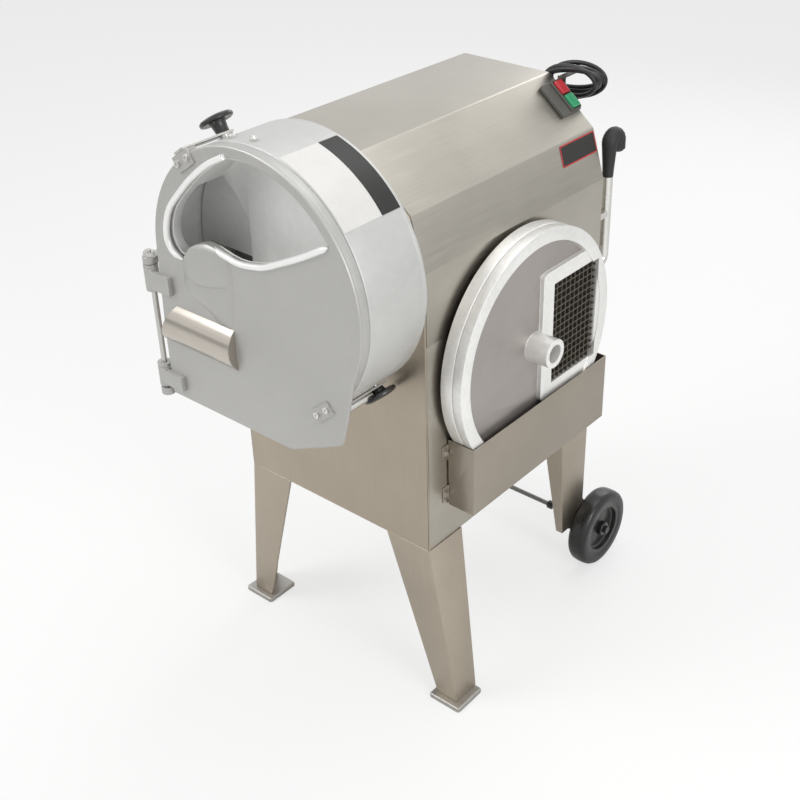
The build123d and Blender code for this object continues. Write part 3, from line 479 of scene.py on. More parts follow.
floorTree.links.new(floorGlow.outputs[0], floorMix.inputs[2])
floorTree.links.new(floorMix.outputs[0], floorOut.inputs["Surface"])
floorData.materials.append(floorPaint)

worldSetup = {"onObject": 0.55, "seen": 1.0, "tint": (0.99, 0.995, 1.0)}
world = bpy.data.worlds.new("studio")
bpy.context.scene.world = world
world.use_nodes = True
worldTree = world.node_tree
background = worldTree.nodes["Background"]
worldRay = worldTree.nodes.new("ShaderNodeLightPath")
worldSeen = worldTree.nodes.new("ShaderNodeMath")
worldSeen.operation = "MAXIMUM"
worldTree.links.new(worldRay.outputs["Is Camera Ray"], worldSeen.inputs[0])
worldGloss = worldTree.nodes.new("ShaderNodeMath")
worldGloss.operation = "MAXIMUM"
worldTree.links.new(worldRay.outputs["Is Glossy Ray"], worldGloss.inputs[0])
worldTree.links.new(worldRay.outputs["Is Transmission Ray"], worldGloss.inputs[1])
worldTree.links.new(worldGloss.outputs[0], worldSeen.inputs[1])
worldLevel = worldTree.nodes.new("ShaderNodeMapRange")
worldLevel.inputs["To Min"].default_value = worldSetup["onObject"]
worldLevel.inputs["To Max"].default_value = worldSetup["seen"]
worldTree.links.new(worldSeen.outputs[0], worldLevel.inputs["Value"])
worldTree.links.new(worldLevel.outputs["Result"], background.inputs["Strength"])
background.inputs["Color"].default_value = (*worldSetup["tint"], 1)

# each lamp: name, place and aim in metres, width and power
lampSetup = [("keyLamp", (-1.6, -2.2, 2.9), (0, 0, 0.7), 1.7, 42),
             ("fillLamp", (2.9, -0.6, 1.7), (0, 0.1, 0.6), 1.6, 34),
             ("topLamp", (0.2, 0.6, 3.3), (0, 0, 0.8), 2.0, 17),
             ("rearLamp", (-0.6, 3.0, 2.0), (0, 0, 0.7), 1.8, 16)]
for lampName, place, aim, size, power in lampSetup:
    lampData = bpy.data.lights.new(lampName, "AREA")
    lampData.shape = "DISK"
    lampData.size = size
    lampData.energy = power
    lamp = bpy.data.objects.new(lampName, lampData)
    lamp.location = place
    lamp.rotation_mode = "QUATERNION"
    lamp.rotation_quaternion = (Vector(aim) - Vector(place)).to_track_quat("-Z", "Y")
    bpy.context.scene.collection.objects.link(lamp)
print("floor and light made")

# Housing: a faceted shell behind a flat front sheet
housing = {"half": 220, "depth": 504, "bottom": 350, "hoodBottom": 757, "bend": 7, "sheet": 2,
           "frontPlate": 4, "shaftHole": 36, "corners": [(220, 885), (193, 974), (96, 1055)],
           "inwards": ((1, 0.35), (0.9, 0.7), (0.35, 1)), "rearEdge": [(0.5, 1.4), (1.8, 0.2), (3.2, 0)]}


def housingOutline(inset, low, bend):
    # right half from its corners, mirrored, with the folds rounded
    right = [(housing["half"] - inset, low)]
    for (x, z), (kx, kz) in zip(housing["corners"], housing["inwards"]):
        right.append((x - inset * kx, z - inset * kz))
    left = [(-x, z) for x, z in reversed(right)]
    return rounded([(right[0][0], right[0][1], 0.5)] + right[1:] + left[:-1] +
                   [(left[-1][0], left[-1][1], 0.5)], bend)


axisZ, innerR, outerR = drumSize["axisZ"], drumSize["innerR"], drumSize["outerR"]
frontMesh = bmesh.new()
plate(frontMesh, [housingOutline(0.4, housing["bottom"], housing["bend"]),
                  circle(0, axisZ, housing["shaftHole"], 40)],
      housing["frontPlate"], 0.8, lambda u, v, w: at(u, housing["frontPlate"] - w, v))
makePiece("front_sheet", frontMesh, [frontSteel], "frame", ("front_plate",))

hoodMesh = bmesh.new()
hoodLow, sheet, rear = housing["hoodBottom"], housing["sheet"], housing["depth"]
outer = housingOutline(0, hoodLow, housing["bend"])
inner = housingOutline(sheet, hoodLow, housing["bend"] - sheet)
front = housing["frontPlate"] + 0.2
sections = [(inner, rear - sheet), (inner, front), (outer, front), (outer, rear - 4)]
for inset, short in housing["rearEdge"]:
    sections.append((housingOutline(inset, hoodLow, housing["bend"]), rear - short))
hoodRings = [[hoodMesh.verts.new(at(x, y, z)) for x, z in loop] for loop, y in sections]
ringFaces(hoodMesh, hoodRings, closeAlong=True)
hoodMesh.faces.new(hoodRings[0])
hoodMesh.faces.new(hoodRings[-1])
makePiece("hood_shell", hoodMesh, [hoodSteel], "frame", ("hood",), sharp=28)

# folded parts that keep the frame's shape: finish, edge width in millimetres, steps round the edge
foldedParts = {"lower_housing": (sideSteel, 1.6, 3), "pocket": (pocketSteel, 0.9, 3),
               "leg_front_left": (legSteel, 1.6, 3), "leg_front_right": (legSteel, 1.6, 3),
               "leg_rear_left": (legSteel, 1.6, 3), "leg_rear_right": (legSteel, 1.6, 3),
               "rear_cover": (sideSteel, 0.6, 2), "base_tray": (sideSteel, 0.6, 2)}
for name, (mat, width, segments) in foldedParts.items():
    softenedCopy(name, "frame", mat, width, segments=segments)
print("housing, legs and pocket made")

# Drum: a wall that is open at the outlet, and its back plate
drumMesh = bmesh.new()
wallFront, wallBack = -drumSize["depth"], -drumSize["wallEnd"]
wallProfile = rounded([(innerR, wallFront, 1.6), (outerR, wallFront, 2.6), (outerR, wallBack, 0.4),
                       (innerR, wallBack, 0.4)], 1, 4)
lathe(drumMesh, wallProfile, roundY(0, axisZ), span=(drumSize["outletFrom"], drumSize["outletTo"]), steps=150)
plate(drumMesh, [circle(0, axisZ, outerR, 160), circle(0, axisZ, drumSize["hubHole"], 60)],
      drumSize["backPlate"], 0.6, lambda u, v, w: at(u, -w, v))
drumShell = makePiece("drum_shell", drumMesh, [drumSilver, innerShade], "frame", ("drum",))
for face in drumShell.data.polygons:
    x, y, z = spotOf(face.center)
    if math.hypot(x, z - axisZ) < innerR + 0.9 and y < -7:
        face.material_index = 1

# Door: x and z of its outlines; a third number is that corner's own radius
doorSetup = {"back": -143, "thick": 8, "rounding": 3.4, "collar": (-145, -129.4), "rimEnd": -25,
             "apron": [(189, 690, 24), (173, 632, 16), (58, 578, 30), (-234, 578, 5), (-234, 700, 60)],
             "mouthCorner": (171, 973), "mouthArc": (34.6, 99.8), "mouthSteps": 22,
             "lip": [(-158, 858), (-133, 883), (-100, 898), (-81, 900), (-54, 895), (-21, 891),
                     (13, 896), (35, 902), (69, 918), (113, 940), (155, 964), (171, 973)],
             "crown": [(-36, 1060), (-72, 1040), (-111, 1010), (-144, 978), (-174, 944),
                       (-188, 911), (-190, 884), (-179, 866), (-158, 858)]}


def smoothLine(points, per):
    # Catmull-Rom line through the points
    out = []
    p = [Vector(q) for q in points]
    p = [p[0] * 2 - p[1]] + p + [p[-1] * 2 - p[-2]]
    for k in range(1, len(p) - 2):
        for i in range(per):
            t = i / per
            out.append(tuple(0.5 * ((2 * p[k]) + (p[k + 1] - p[k - 1]) * t
                       + (2 * p[k - 1] - 5 * p[k] + 4 * p[k + 1] - p[k + 2]) * t * t
                       + (3 * p[k] - p[k - 1] - 3 * p[k + 1] + p[k + 2]) * t ** 3)))
    return out + [tuple(p[-2])]


def lineAt(points, x):
    # height of a line over x
    for (ax, az), (bx, bz) in zip(points, points[1:]):
        if x <= bx:
            return az + (bz - az) * max(x - ax, 0) / (bx - ax)
    return points[-1][1]


def resampled(points, count):
    # points at equal steps along a line
    lengths = [0]
    for a, b in zip(points, points[1:]):
        lengths.append(lengths[-1] + math.hypot(b[0] - a[0], b[1] - a[1]))
    out = []
    for k in range(count):
        s = lengths[-1] * k / (count - 1)
        i = max(j for j in range(len(points) - 1) if lengths[j] <= s + 1e-9)
        t = (s - lengths[i]) / (lengths[i + 1] - lengths[i])
        out.append((points[i][0] + (points[i + 1][0] - points[i][0]) * t,
                    points[i][1] + (points[i + 1][1] - points[i][1]) * t))
    return out


cornerX, cornerZ = doorSetup["mouthCorner"]
mouthR = math.hypot(cornerX, cornerZ - axisZ)
arcFrom, arcTo = doorSetup["mouthArc"]
arcSteps = doorSetup["mouthSteps"]
lipLine = smoothLine(doorSetup["lip"], 5)
crownLine = smoothLine(doorSetup["crown"], 5)
arcLine = [polar(mouthR, arcFrom + (arcTo - arcFrom) * k / arcSteps) for k in range(1, arcSteps)]
mouthLoop = lipLine + arcLine + crownLine[:-1]
rimArc = [polar(outerR, 180 - (180 - doorSetup["rimEnd"]) * k / 110) for k in range(111)]
doorOutline = rimArc + rounded([rimArc[-1]] + doorSetup["apron"] + [rimArc[0]], 0, 6)[1:-1]

doorMesh = bmesh.new()
plate(doorMesh, [doorOutline, mouthLoop], doorSetup["thick"], doorSetup["rounding"],
      lambda u, v, w: at(u, doorSetup["back"] - w, v), steps=4)
collarFront, collarBack = doorSetup["collar"]
lathe(doorMesh, rounded([(innerR, collarFront, 0.2), (outerR - 0.1, collarFront, 0.2),
                         (outerR - 0.1, collarBack, 1.6), (innerR, collarBack, 1.2)], 1, 3),
      roundY(0, axisZ), steps=160)

# mound that rolls over the lip, with the lower swell under its crease
# upper rows: share of the way to the lip, lift, rise; lower rows: share of the way down, rise
mound = {"crease": [(-162, 838), (-145, 832), (-128, 829), (-107, 830), (-87, 833), (-65, 839), (-43, 848)],
         "left": [(-162, 838), (-163, 822), (-161, 808), (-153, 798), (-138, 794.5), (-124, 791),
                  (-107, 780), (-97, 769), (-91, 761)],
         "right": [(-43, 848), (-44, 836), (-46, 820), (-48, 803), (-50, 788), (-52, 772), (-53, 762)],
         "overLip": ((5.4, -143.2), (5.8, -147), (6.0, -150.5)), "lipFrom": -158, "lipWide": 112,
         "upper": [(1.0, 5.6, 6.5), (1.0, 3.6, 8.4), (1.0, 1.2, 10.0), (0.97, 0, 11.2), (0.85, 0, 12.6),
                   (0.65, 0, 13.4), (0.4, 0, 13.8), (0.18, 0, 13.6), (0.05, 0, 12.9), (0.0, 0, 11.4)],
         "lower": [(0, 9.6), (0.1, 10.9), (0.22, 11.6), (0.4, 11.2), (0.55, 9.9), (0.7, 7.4), (0.83, 4.4),
                   (0.93, 1.9), (1.0, 0.3)],
         "columns": 36, "sideRows": 20, "front": -150.8, "shift": 4, "narrow": 7, "drop": 1.4,
         "fullness": 0.65}


def moundRows(s):
    # rows of places: over the lip, down the mound to its crease, and on over the lower swell
    steps = s["columns"]
    (startX, startZ), (endX, endZ) = s["crease"][0], s["crease"][-1]
    rows = []
    for lift, y in s["overLip"]:
        row = []
        for k in range(steps + 1):
            x = s["lipFrom"] + s["lipWide"] * k / steps
            row.append((x, y, lineAt(lipLine, x) + lift * math.sin(math.pi * k / steps) ** 0.5))
        rows.append(row)
    for share, lift, rise in s["upper"]:
        row = []
        for k in range(steps + 1):
            x = (startX + s["shift"] * share) + (endX - startX - s["narrow"] * share) * (k / steps)
            arch = math.sin(math.pi * k / steps) ** s["fullness"]
            low = lineAt(s["crease"], x)
            row.append((x, s["front"] - rise * arch,
                        low + (lineAt(lipLine, x) - low) * share + lift * arch ** 0.7))
        rows.append(row)
    leftLine = resampled(s["left"], s["sideRows"] + 1)
    rightLine = resampled(s["right"], s["sideRows"] + 1)
    for share, rise in s["lower"]:
        (ax, az), (bx, bz) = leftLine[round(share * s["sideRows"])], rightLine[round(share * s["sideRows"])]
        row = []
        for k in range(steps + 1):
            x, z = ax + (bx - ax) * (k / steps), az + (bz - az) * (k / steps)
            straight = startZ + (x - startX) * (endZ - startZ) / (endX - startX)
            z += (lineAt(s["crease"], x) - straight) * (1 - share) ** 2 - s["drop"] * (1 - share)
            row.append((x, s["front"] - rise * math.sin(math.pi * k / steps) ** s["fullness"], z))
        rows.append(row)
    return rows


moundRings = [[doorMesh.verts.new(at(*q)) for q in row] for row in moundRows(mound)]
ringFaces(doorMesh, moundRings, closeAlong=False)
rimVerts = ([row[0] for row in moundRings] + moundRings[-1][1:] + [row[-1] for row in moundRings[-2::-1]]
            + moundRings[0][-2:0:-1])
moundBack = at(0, doorSetup["back"] - 0.1, 0).y
backRing = [doorMesh.verts.new((v.co.x, moundBack, v.co.z)) for v in rimVerts]
ringFaces(doorMesh, [rimVerts, backRing])
doorMesh.faces.new(backRing)
makePiece("door_shell", doorMesh, [castSilver], "door", ("door",), sharp=30)

# Feed throat, its bright bead and the scoop
throat = softenedCopy("hopper", "door", innerSilver, 1.4)
throatFall = {"front": -143, "near": 7.5, "slope": 0.95}      # the floor falls away behind the lip
for vertex in throat.data.vertices:
    x, y, z = spotOf(vertex.co)
    if y > throatFall["front"] and abs(z - lineAt(lipLine, x)) < throatFall["near"]:
        vertex.co.z -= throatFall["slope"] * (y - throatFall["front"]) / 1000

bead = {"y": -152.4, "radius": 5.3, "tip": 0.3, "taper": 9, "lowerFrom": (-92, 899.5),
        "upperFrom": (-34, 1062)}
beadMesh = bmesh.new()
for line in ([bead["lowerFrom"]] + doorSetup["lip"][3:], [bead["upperFrom"]] + doorSetup["crown"]):
    path = [at(x, bead["y"], z) for x, z in smoothLine(line, 6)]
    tube(beadMesh, path, lambda t: bead["radius"] * min(1, bead["tip"] + t * bead["taper"],
                                                        bead["tip"] + (1 - t) * bead["taper"]), steps=16)
makePiece("mouth_bead", beadMesh, [beadMetal], "door", ("hopper_rim",))

guard = {"axisY": -121, "axisZ": 725, "radius": 48, "top": (-192, -53), "bottom": (-231, -53),
         "reach": 52, "steps": 36, "lip": 0.8, "skew": 1.3}
guardMesh = bmesh.new()
guardRings = []
for end, inward, r in ((0, 0, guard["radius"] - guard["lip"]), (0, 1, guard["radius"]),
                       (1, -1, guard["radius"]), (1, 0, guard["radius"] - guard["lip"])):
    ring = []
    for k in range(guard["steps"] + 1):
        share = k / guard["steps"]
        a = math.radians(-guard["reach"] + 2 * guard["reach"] * share)
        x = guard["bottom"][end] + (guard["top"][end] - guard["bottom"][end]) * share ** guard["skew"]
        ring.append(guardMesh.verts.new(at(x + inward * guard["lip"], guard["axisY"] - r * math.cos(a),
                                           guard["axisZ"] + r * math.sin(a))))
    guardRings.append(ring)
ringFaces(guardMesh, guardRings, closeAlong=False)
guardMesh.faces.new(guardRings[0])
guardMesh.faces.new(guardRings[-1])
guardMesh.faces.new([ring[0] for ring in guardRings])
guardMesh.faces.new([ring[-1] for ring in guardRings])
makePiece("guard_scoop", guardMesh, [polished], "door", ("feed_guard",))
print("drum and door made")

# Stored discs, which stand on edge in the pocket
store = {"y": 240, "z": 669.9, "rim": 215.5, "face": 261, "window": (286, 420, 576.9, 772.9)}
dicingDisc = softenedCopy("dicing_disc", "dicing_disc", discCast, 2.4, segments=4, limit=30)
dicingDisc.data.materials.append(discFace)
for face in dicingDisc.data.polygons:
    if abs(spotOf(face.center)[0] - store["face"]) < 0.4 and abs(face.normal.x) > 0.9:
        face.material_index = 1

spare = {"from": 229, "to": 253, "bandR": 197, "web": 241, "webThick": 7, "bore": 17, "hubR": 27,
         "hubTo": 252, "slot": (40, 180, 16, 30), "second": (-220, -46)}
spareMesh = bmesh.new()
onSpare = roundX(store["y"], store["z"])
lathe(spareMesh, rounded([(spare["bandR"], spare["from"], 1), (store["rim"], spare["from"], 1.6),
                          (store["rim"], spare["to"], 2.4), (spare["bandR"], spare["to"], 1)], 1, 4),
      onSpare, steps=170)
slots = []
slotFrom, slotTo, slotLow, slotHigh = spare["slot"]
for shiftY, shiftZ in ((0, 0), spare["second"]):
    y, z = store["y"] + shiftY, store["z"] + shiftZ
    slots.append(rounded([(y + slotFrom, z + slotLow), (y + slotTo, z + slotLow), (y + slotTo, z + slotHigh),
                          (y + slotFrom, z + slotHigh)], 3, 3))
plate(spareMesh, [circle(store["y"], store["z"], spare["bandR"] + 1, 120)] + slots
      + [circle(store["y"], store["z"], spare["bore"], 40)], spare["webThick"], 0.5,
      lambda u, v, w: at(spare["web"] + w, u, v), material=1)
lathe(spareMesh, [(spare["bore"], spare["from"]), (spare["bore"], spare["hubTo"]),
                  (spare["hubR"], spare["hubTo"]), (spare["hubR"], spare["from"])], onSpare, steps=60)
makePiece("spare_disc_body", spareMesh, [discCast, discFace], "spare_disc", ("spare_disc",))
print("stored discs made")


# Repeated pieces by Geometry Nodes
def newTree(name, inputs):
    # node tree with a mesh in, a mesh out and named inputs
    tree = bpy.data.node_groups.new(name, "GeometryNodeTree")
    tree.interface.new_socket("Geometry", in_out="INPUT", socket_type="NodeSocketGeometry")
    for label, kind in inputs:
        tree.interface.new_socket(label, in_out="INPUT", socket_type=kind)
    tree.interface.new_socket("Geometry", in_out="OUTPUT", socket_type="NodeSocketGeometry")
    return tree, tree.nodes.new("NodeGroupInput"), tree.nodes.new("NodeGroupOutput")


def runTree(name, tree, values, body, stands):
    # sets the inputs by their identifiers and keeps the result as a plain mesh
    piece = bpy.data.objects.new(name, bpy.data.meshes.new(name))
    bpy.context.scene.collection.objects.link(piece)
    modifier = piece.modifiers.new("build", "NODES")
    modifier.node_group = tree
    for item in tree.interface.items_tree:
        if item.in_out == "INPUT" and item.name in values:
            modifier[item.identifier] = values[item.name]
    settled(piece)
    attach(piece, body)
    if stands:
        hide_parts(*stands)
    return piece


# grid of thin bars: one line of bars across, one upright, both from the same inputs
barTree, barIn, barOut = newTree("barGrid", [("Count", "NodeSocketInt"), ("Start", "NodeSocketVector"),
                                             ("Step", "NodeSocketVector"), ("Bar", "NodeSocketVector"),
                                             ("Finish", "NodeSocketMaterial")])
barLine = barTree.nodes.new("GeometryNodeMeshLine")
barCube = barTree.nodes.new("GeometryNodeMeshCube")
barPlace = barTree.nodes.new("GeometryNodeInstanceOnPoints")
barReal = barTree.nodes.new("GeometryNodeRealizeInstances")
barPaint = barTree.nodes.new("GeometryNodeSetMaterial")
for a, b in ((barIn.outputs["Count"], barLine.inputs["Count"]),
             (barIn.outputs["Start"], barLine.inputs["Start Location"]),
             (barIn.outputs["Step"], barLine.inputs["Offset"]),
             (barIn.outputs["Bar"], barCube.inputs["Size"]),
             (barLine.outputs["Mesh"], barPlace.inputs["Points"]),
             (barCube.outputs["Mesh"], barPlace.inputs["Instance"]),
             (barPlace.outputs["Instances"], barReal.inputs["Geometry"]),
             (barReal.outputs["Geometry"], barPaint.inputs["Geometry"]),
             (barIn.outputs["Finish"], barPaint.inputs["Material"]),
             (barPaint.outputs["Geometry"], barOut.inputs["Geometry"])):
    barTree.links.new(a, b)

gridSetup = {"across": 9, "upright": 14, "bar": 1.7, "depth": 9.6, "middleX": 261.2, "stagger": 0.1}
y0, y1, z0, z1 = store["window"]
stepY, stepZ = (y1 - y0) / (gridSetup["across"] + 1), (z1 - z0) / (gridSetup["upright"] + 1)
thick, deep = gridSetup["bar"] / 1000, gridSetup["depth"] / 1000
gridRows = {
    "grid_uprights": {"Count": gridSetup["across"], "Step": (0, stepY / 1000, 0), "Finish": gridSteel,
                      "Start": at(gridSetup["middleX"], y0 + stepY, (z0 + z1) / 2),
                      "Bar": (deep, thick, (z1 - z0) / 1000)},
    "grid_crossbars": {"Count": gridSetup["upright"], "Step": (0, 0, stepZ / 1000), "Finish": gridSteel,
                       "Start": at(gridSetup["middleX"] - gridSetup["stagger"], (y0 + y1) / 2, z0 + stepZ),
                       "Bar": (deep, (y1 - y0) / 1000, thick)}}
for name, values in gridRows.items():
    runTree(name, barTree, values, "dicing_disc", ("dicing_grid",))
print("dicing grid made")

# Knobs: stud angle, place from the front sheet, base of the neck and underside of the cap
knobSetup = {"knob_top": (125, -60, 237, 257), "knob_low": (-51, -37, 232, 240)}
for name, (deg, y, base, cap) in knobSetup.items():
    neck = cap - base
    profile = [(0, base + 1), (5.3, base + 1), (5.3, base), (10.2, base), (11.2, base + 1.2),
               (11.6, base + neck * 0.4), (12.6, base + neck * 0.75), (15, cap - 0.2), (21, cap + 0.2),
               (26, cap - 0.6), (28.4, cap + 0.8), (29, cap + 3.2), (28.4, cap + 5.8), (25.6, cap + 8),
               (19, cap + 9.4), (10, cap + 9.9), (0, cap + 10)]
    knobMesh = bmesh.new()
    place = radial(deg, y)
    lathe(knobMesh, profile,
          lambda r, a, h: place(r * math.cos(math.radians(a)), r * math.sin(math.radians(a)), h),
          steps=60, closed=False)
    makePiece(name + "_cap", knobMesh, [knobPlastic], name, (name,))

link = {"deg": -51, "distance": 236.5, "radius": 6.6, "endRadius": 5.4, "pins": (-11, 11), "pinY": -131,
        "pinHalf": 3.4, "pinR": 5.6, "along": (-141.6, -140.6, -134, -120, -90, -62, -54, -52.5)}
linkMesh = bmesh.new()
linkPlace = radial(link["deg"], 0)
tube(linkMesh, [linkPlace(u, 0, link["distance"]) for u in link["along"]],
     lambda t: link["radius"] if 0.1 < t < 0.9 else link["endRadius"], steps=24)
for v in link["pins"]:
    pinEnds = [v - link["pinHalf"], v + link["pinHalf"]]
    tube(linkMesh, [linkPlace(link["pinY"], end, link["distance"] - 0.5) for end in pinEnds], link["pinR"],
         steps=20)
makePiece("clamp_link", linkMesh, [brightSteel], "door")
print("knobs made")

# Wheels: radius and distance from the inner face
wheel = {"y": 540, "z": 84, "inner": 209.5}
tyreProfile = [(56, 2), (60, 0.6), (74, 0), (80, 3), (82.6, 7), (83.7, 13), (84, 21), (83.7, 29),
               (82.6, 35), (80, 39), (74, 42), (60, 41.4), (56, 40)]
hubProfile = [(5.2, 0), (13.5, 0), (15, 1.4), (15, 12), (18, 13.2), (44, 13.8), (47.5, 11.5), (48.5, 3.5),
              (50, 2.2), (56, 2.0), (56, 40), (50, 39.8), (48.5, 38.5), (47.5, 30.5), (44, 28.2),
              (18, 28.8), (15, 30), (15, 40.6), (13.5, 42), (5.2, 42)]
for sideSign, suffix in ((-1, "left"), (1, "right")):
    for label, profile, mat in (("tyre", tyreProfile, tyreRubber), ("wheel_rim", hubProfile, knobPlastic)):
        wheelMesh = bmesh.new()
        lathe(wheelMesh, [(r, sideSign * (wheel["inner"] + h)) for r, h in profile],
              roundX(wheel["y"], wheel["z"]), steps=96)
        makePiece(label + "_" + suffix + "_shape", wheelMesh, [mat], "wheel_" + suffix,
                  (label + "_" + suffix,))
print("wheels made")

# Grips: up the handle, over and down again, thicker towards the top
grip = {"x": 209, "thin": 9.8, "swell": 4.9, "step": 2.2, "rib": 0.25, "ribs": 190,
        "bend": [(535, 868, 0), (535, 950, 14), (562, 950, 13), (562, 918, 0)]}


def gripRadius(t):
    # radius along the grip, with drawn-in ends and low ribs
    body = grip["thin"] + grip["swell"] * min(max(t / 0.55, 0), 1) ** 1.4
    return body * min(1, 0.8 + t * 9, 0.7 + (1 - t) * 9) + grip["rib"] * math.sin(t * grip["ribs"])


gripLine = []
corners = rounded(grip["bend"], 0, 10)
for a, b in zip(corners, corners[1:]):
    count = max(1, int(math.hypot(b[0] - a[0], b[1] - a[1]) / grip["step"]))
    gripLine += [(a[0] + (b[0] - a[0]) * k / count, a[1] + (b[1] - a[1]) * k / count) for k in range(count)]
gripLine.append(corners[-1])
for sideSign, suffix in ((-1, "left"), (1, "right")):
    gripMesh = bmesh.new()
    tube(gripMesh, [at(sideSign * grip["x"], y, z) for y, z in gripLine], gripRadius, steps=28)
    makePiece("grip_" + suffix, gripMesh, [gripRubber], "frame", ("grips",))
print("grips made")


# Bare plates
def slopeSpot(a, b):
    # placement on a hood slope between two corners: u runs rearwards, v down the slope, w outwards
    length = math.hypot(b[0] - a[0], b[1] - a[1])
    dx, dz = (b[0] - a[0]) / length, (b[1] - a[1]) / length
    return lambda u, v, w: at(a[0] + dx * v - dz * w, u, a[1] + dz * v + dx * w)


def frameOf(u0, u1, v0, v1, inset, r):
    # rounded rectangle, drawn in from its sides
    return rounded([(u0 + inset, v0 + inset), (u1 - inset, v0 + inset), (u1 - inset, v1 - inset),
                    (u0 + inset, v1 - inset)], r, 4)


plateSetup = {"angles": (36.5, 75), "white": (-127, -46.5), "dark": (394, 500, 5, 43), "border": 2.4,
              "lowR": 0.1, "highR": 0.7}
plateMesh = bmesh.new()
ahead, behind = plateSetup["white"]
lowR, highR = outerR + plateSetup["lowR"], outerR + plateSetup["highR"]
lathe(plateMesh, [(lowR, ahead), (highR, ahead + 0.2), (highR, behind - 0.2), (lowR, behind)],
      roundY(0, axisZ), span=plateSetup["angles"], steps=40)
onSlope = slopeSpot(housing["corners"][1], housing["corners"][0])
border, inside = frameOf(*plateSetup["dark"], 0, 3), frameOf(*plateSetup["dark"], plateSetup["border"], 2)
plate(plateMesh, [border, inside], 0.7, 0.2, lambda u, v, w: onSlope(u, v, w + 0.05), material=1, steps=2)
plate(plateMesh, [inside], 0.5, 0.15, lambda u, v, w: onSlope(u, v, w + 0.05), material=2, steps=2)
makePiece("plates_bare", plateMesh, [whitePlate, redEdge, darkPlate], "frame", ("bare_plates",))
print("plates made")

# Switch: a base on the hood's slope, a raised housing with two wells, and a cap in each
onTop = slopeSpot(housing["corners"][2], housing["corners"][1])


def block(u, v, w, h, r):
    # rounded rectangle by its middle and its two sizes
    return rounded([(u - w / 2, v - h / 2), (u + w / 2, v - h / 2), (u + w / 2, v + h / 2),
                    (u - w / 2, v + h / 2)], r, 4)


switch = {"u": 474, "v": 54, "base": (56, 68), "shell": (30, 64), "shellU": 486, "well": (22.4, 28.4),
          "cap": (21, 27), "gap": 15.2, "baseHigh": 7, "shellHigh": 4.4, "shellFrom": 6.6, "capHigh": 8.4,
          "capFrom": 6.9}
switchMesh = bmesh.new()
plate(switchMesh, [block(switch["u"], switch["v"], *switch["base"], 4)], switch["baseHigh"], 1.4,
      lambda u, v, w: onTop(u, v, w))
wells = [block(switch["shellU"], switch["v"] + d, *switch["well"], 2.4)
         for d in (-switch["gap"], switch["gap"])]
plate(switchMesh, [block(switch["shellU"], switch["v"], *switch["shell"], 4)] + wells,
      switch["shellHigh"], 1.2, lambda u, v, w: onTop(u, v, switch["shellFrom"] + w))
makePiece("switch_shell", switchMesh, [switchShell], "frame", ("switch_box",))
for d, name, mat in ((-switch["gap"], "stop", stopRed), (switch["gap"], "start", startGreen)):
    capMesh = bmesh.new()
    plate(capMesh, [block(switch["shellU"], switch["v"] + d, *switch["cap"], 2.4)], switch["capHigh"], 1.6,
          lambda u, v, w: onTop(u, v, switch["capFrom"] + w), steps=4)
    makePiece(name + "_cap", capMesh, [mat], name + "_button", ("button_" + name,))
print("switch made")

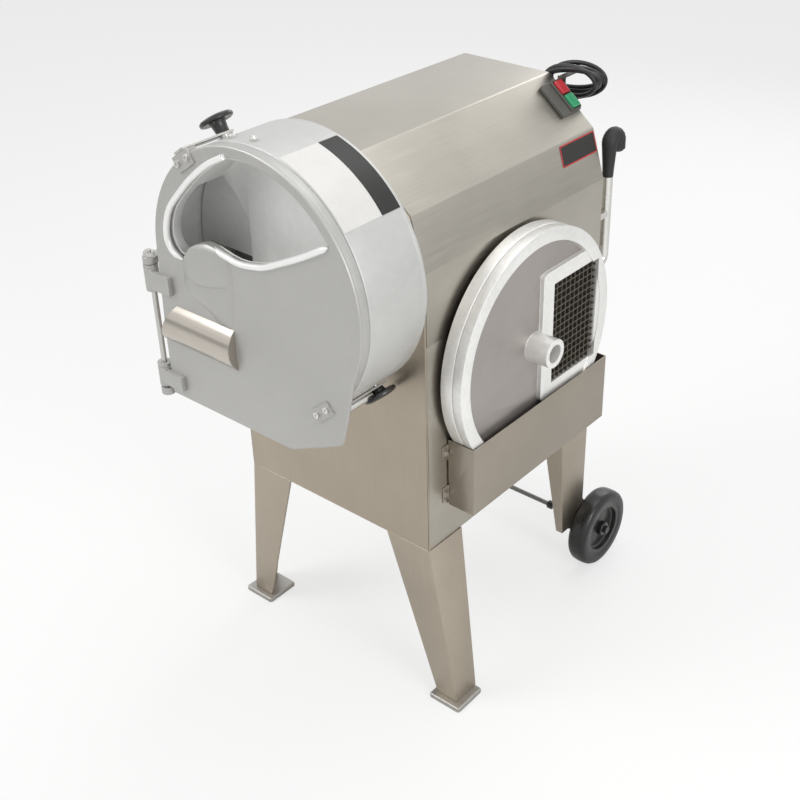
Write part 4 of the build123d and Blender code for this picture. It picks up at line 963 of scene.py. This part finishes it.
# Strain relief: a nut, a ringed sleeve that narrows, and a collar through the sheet
relief = {"x": 60, "z": 985, "bore": 4.3, "nutY": 504.2, "nutThick": 6.8, "nutR": 12.6, "sleeveY": 510.6,
          "ringY": 511.4, "rings": 6, "ringStep": 3.2, "ringR": 9.2, "taper": 0.62, "tipY": 531, "tipR": 5.6,
          "collar": (9.6, 498, 504.4)}
onLead = roundY(relief["x"], relief["z"])
reliefMesh = bmesh.new()
nutCorners = []
for k in range(6):
    a = math.radians(60 * k + 30)
    nutCorners.append((relief["x"] + relief["nutR"] * math.cos(a),
                       relief["z"] + relief["nutR"] * math.sin(a)))
plate(reliefMesh, [rounded(nutCorners, 1.5, 3), circle(relief["x"], relief["z"], relief["bore"], 30)],
      relief["nutThick"], 0.8, lambda u, v, w: at(u, relief["nutY"] + w, v))
reliefLine = [(relief["bore"], relief["sleeveY"]), (relief["ringR"] + 0.2, relief["sleeveY"])]
for k in range(relief["rings"]):
    y, r = relief["ringY"] + k * relief["ringStep"], relief["ringR"] - k * relief["taper"]
    reliefLine += [(r, y), (r - 0.1, y + 1.9), (r - 0.9, y + 2.2), (r - 0.9, y + 2.9)]
reliefLine += [(relief["tipR"], relief["tipY"]), (relief["bore"], relief["tipY"])]
lathe(reliefMesh, reliefLine, onLead, steps=40)
collarR, collarFrom, collarTo = relief["collar"]
lathe(reliefMesh, [(relief["bore"], collarFrom), (collarR, collarFrom), (collarR, collarTo),
                   (relief["bore"], collarTo)], onLead, steps=30)
makePiece("strain_relief", reliefMesh, [leadRubber], "frame", ("cord_gland",))
print("strain relief made")

# Carried-over pieces: their finishes, and the edge widths of those that are cast or bent
keptFinish = {
    "feet": footSteel, "axle": darkSteel, "axle_fittings": knobPlastic, "drum_studs": brightSteel,
    "drum_band": darkPlate, "hinge_lugs": castSilver, "hinge_pin": turnedSteel,
    "bearing_housing": ironPaint, "motor": motorPaint, "disc_rest": sealRubber, "handles": brightSteel,
    "cord_hook": darkSteel, "v_belt": beltRubber, "clamp_strap": turnedSteel, "door_seal": sealRubber,
    "door_knuckles": castSilver, "door_brackets": castSilver, "bracket_screws": brightSteel,
    "main_shaft": turnedSteel, "cutting_disc": innerShade, "cutting_blades": brightSteel,
    "disc_nut": turnedSteel, "big_pulley": ironPaint, "motor_shaft": turnedSteel,
    "small_pulley": ironPaint, "housing_screws": brightSteel}
softWidths = {"feet": 1.6, "hinge_lugs": 1.6, "door_knuckles": 2.2, "clamp_strap": 0.8,
              "door_brackets": 0.7}
bodyOf = {node: body for body, members in frame["record"]["behaviour"]["bodies"].items() for node in members}
for node, mat in keptFinish.items():
    if node in softWidths:
        softenedCopy(node, bodyOf[node], mat, softWidths[node])
    else:
        nodes[node].data.materials.clear()
        nodes[node].data.materials.append(mat)
print("carried-over pieces finished")
